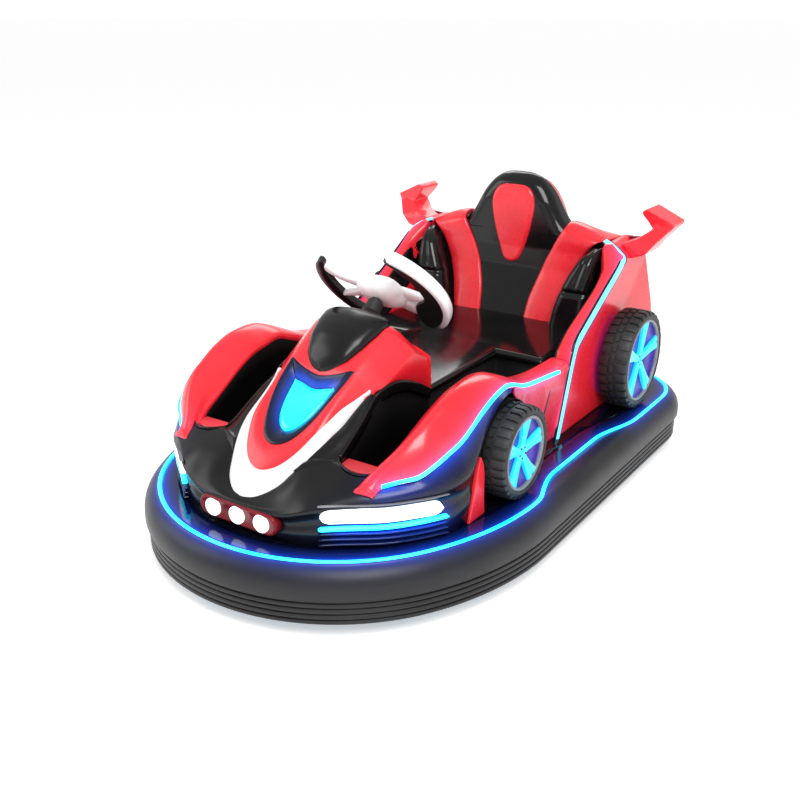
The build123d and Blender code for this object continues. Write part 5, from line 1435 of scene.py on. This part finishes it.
# the hub's share of its outline at heights towards the driver
HUB_STEPS = ((0.60, -40), (0.84, -32), (1.06, -20), (1.14, -10), (1.08, 2), (0.92, 7), (0.66, 9), (0.62, 7.5),
             (0.58, 7.5), (0.54, 10.5), (0.36, 13), (0.02, 14))
hub_line = spline(HUB_LOBES, 4, closed=True)
hub_rows = [[wheel_point(u * scale, v * scale, h) for u, v in hub_line] for scale, h in HUB_STEPS]
show(tubes("wheel_hub_cover", [hub_rows]), WHITE, (), "steering")

# the arms, as (across, up, towards the driver), with their half widths and two heights
SPOKES = {
    "upper_left": ([(30, -6, 0), (80, -14, 2), (122, -26, 3), (152, -38, 3)], (34, 24, 15, 1.5), -12, 9),
    "lower_left": ([(20, -34, 0), (60, -58, 0), (92, -80, 0), (116, -96, 0)], (30, 24, 19, 15), -16, 6),
    "upper_right": ([(-36, 10, 0), (-90, 22, 0), (-132, 42, 0), (-160, 78, 0), (-170, 112, 0)],
                    (24, 18, 15, 13, 4), -15, 10),
    "lower_right": ([(-36, -20, 0), (-90, -36, 0), (-136, -50, 0), (-170, -62, 0)], (20, 14, 10, 5), -14, 7)}
for name, shape in SPOKES.items():
    show(tubes(f"wheel_spoke_{name}", [blade(*shape)]), WHITE, (), "steering")

collar_rows = [[WHEEL_CENTRE - OUT * d + (ACROSS * c + UP * s) * r for c, s in oval(32)]
               for d, r in ((42, 16), (50, 23), (82, 26), (88, 21), (92, 21))]
show(shade_by_angle(tubes("column_shroud", [collar_rows])), SATIN)

# ---------------------------------------------------------------- CAD pieces shown as they are
# the footwells take the hollows' near-black, darkened as painted shade
KEPT = {"chassis_frame": STEEL, "rear_axles": STEEL, "battery": CASE, "footwell_left": CAVITY_SHADE,
        "footwell_right": CAVITY_SHADE, "steering_bridge": STEEL, "steering_gearbox": CAST,
        "steering_column": SATIN, "steer_fork": STEEL, "drive_motor": CAST}
for name, paint in KEPT.items():
    node = bpy.data.objects[name]
    for obj in [node, *node.children_recursive]:
        if obj.type == "MESH":
            obj.data.materials.clear()
            obj.data.materials.append(paint)


# ---------------------------------------------------------------- floor, light and camera
FLOOR_HALF = 400.0
BACKDROP_TOP = 60.0


def staged(name, data):
    """Object that belongs to the studio and not to the part."""
    obj = bpy.data.objects.new(name, data)
    bpy.context.scene.collection.objects.link(obj)
    return obj


def lamp(name, place, target, size, power):
    """Soft rectangular light that faces a target."""
    data = bpy.data.lights.new(name, "AREA")
    data.shape = "RECTANGLE"
    data.size, data.size_y = size
    data.energy = power
    obj = staged(name, data)
    obj.location = place
    obj.rotation_euler = (Vector(target) - Vector(place)).to_track_quat("-Z", "Y").to_euler()


floor_mesh = bpy.data.meshes.new("floor")
corners = [(x * FLOOR_HALF, y * FLOOR_HALF, z) for z in (0, BACKDROP_TOP)
           for x, y in ((-1, -1), (1, -1), (1, 1), (-1, 1))]
walls = [(k, (k + 1) % 4, (k + 1) % 4 + 4, k + 4) for k in range(4)]
floor_mesh.from_pydata(corners, [], [(0, 1, 2, 3)] + walls)
staged("floor", floor_mesh)
floor_mesh.materials.append(material("floor_white", (0.80, 0.80, 0.80), (0.82, 0.82, 0.82), 0.9, bump=0.0,
                                     light=(1.0, 0.995, 1.0), strength=0.46))

world = bpy.data.worlds.new("studio")
world.use_nodes = True
world.node_tree.nodes["Background"].inputs["Color"].default_value = (1, 1, 1, 1)
world.node_tree.nodes["Background"].inputs["Strength"].default_value = 0.62
bpy.context.scene.world = world

lamp("key_light", (2.6, -2.6, 4.4), (0, 0, 0.3), (2.6, 2.6), 210)
lamp("fill_light", (-4.0, -2.6, 2.8), (0, 0, 0.3), (3.0, 3.0), 70)
lamp("back_light", (-1.5, 3.6, 3.4), (0, 0.2, 0.5), (3.0, 2.0), 70)

camera = bpy.data.cameras.new("camera")
camera.sensor_width = 36.0
camera.lens = 44.27
viewpoint = bpy.data.objects.new("camera", camera)
AZIMUTH, ELEVATION = math.radians(34.165), math.radians(21.567)
viewpoint.location = (1.5125, -2.3397, 1.3666)
viewpoint.rotation_euler = (math.pi / 2 - ELEVATION, 0.0, AZIMUTH)
bpy.context.scene.collection.objects.link(viewpoint)
bpy.context.scene.camera = viewpoint
bpy.context.scene.view_settings.view_transform = "Standard"
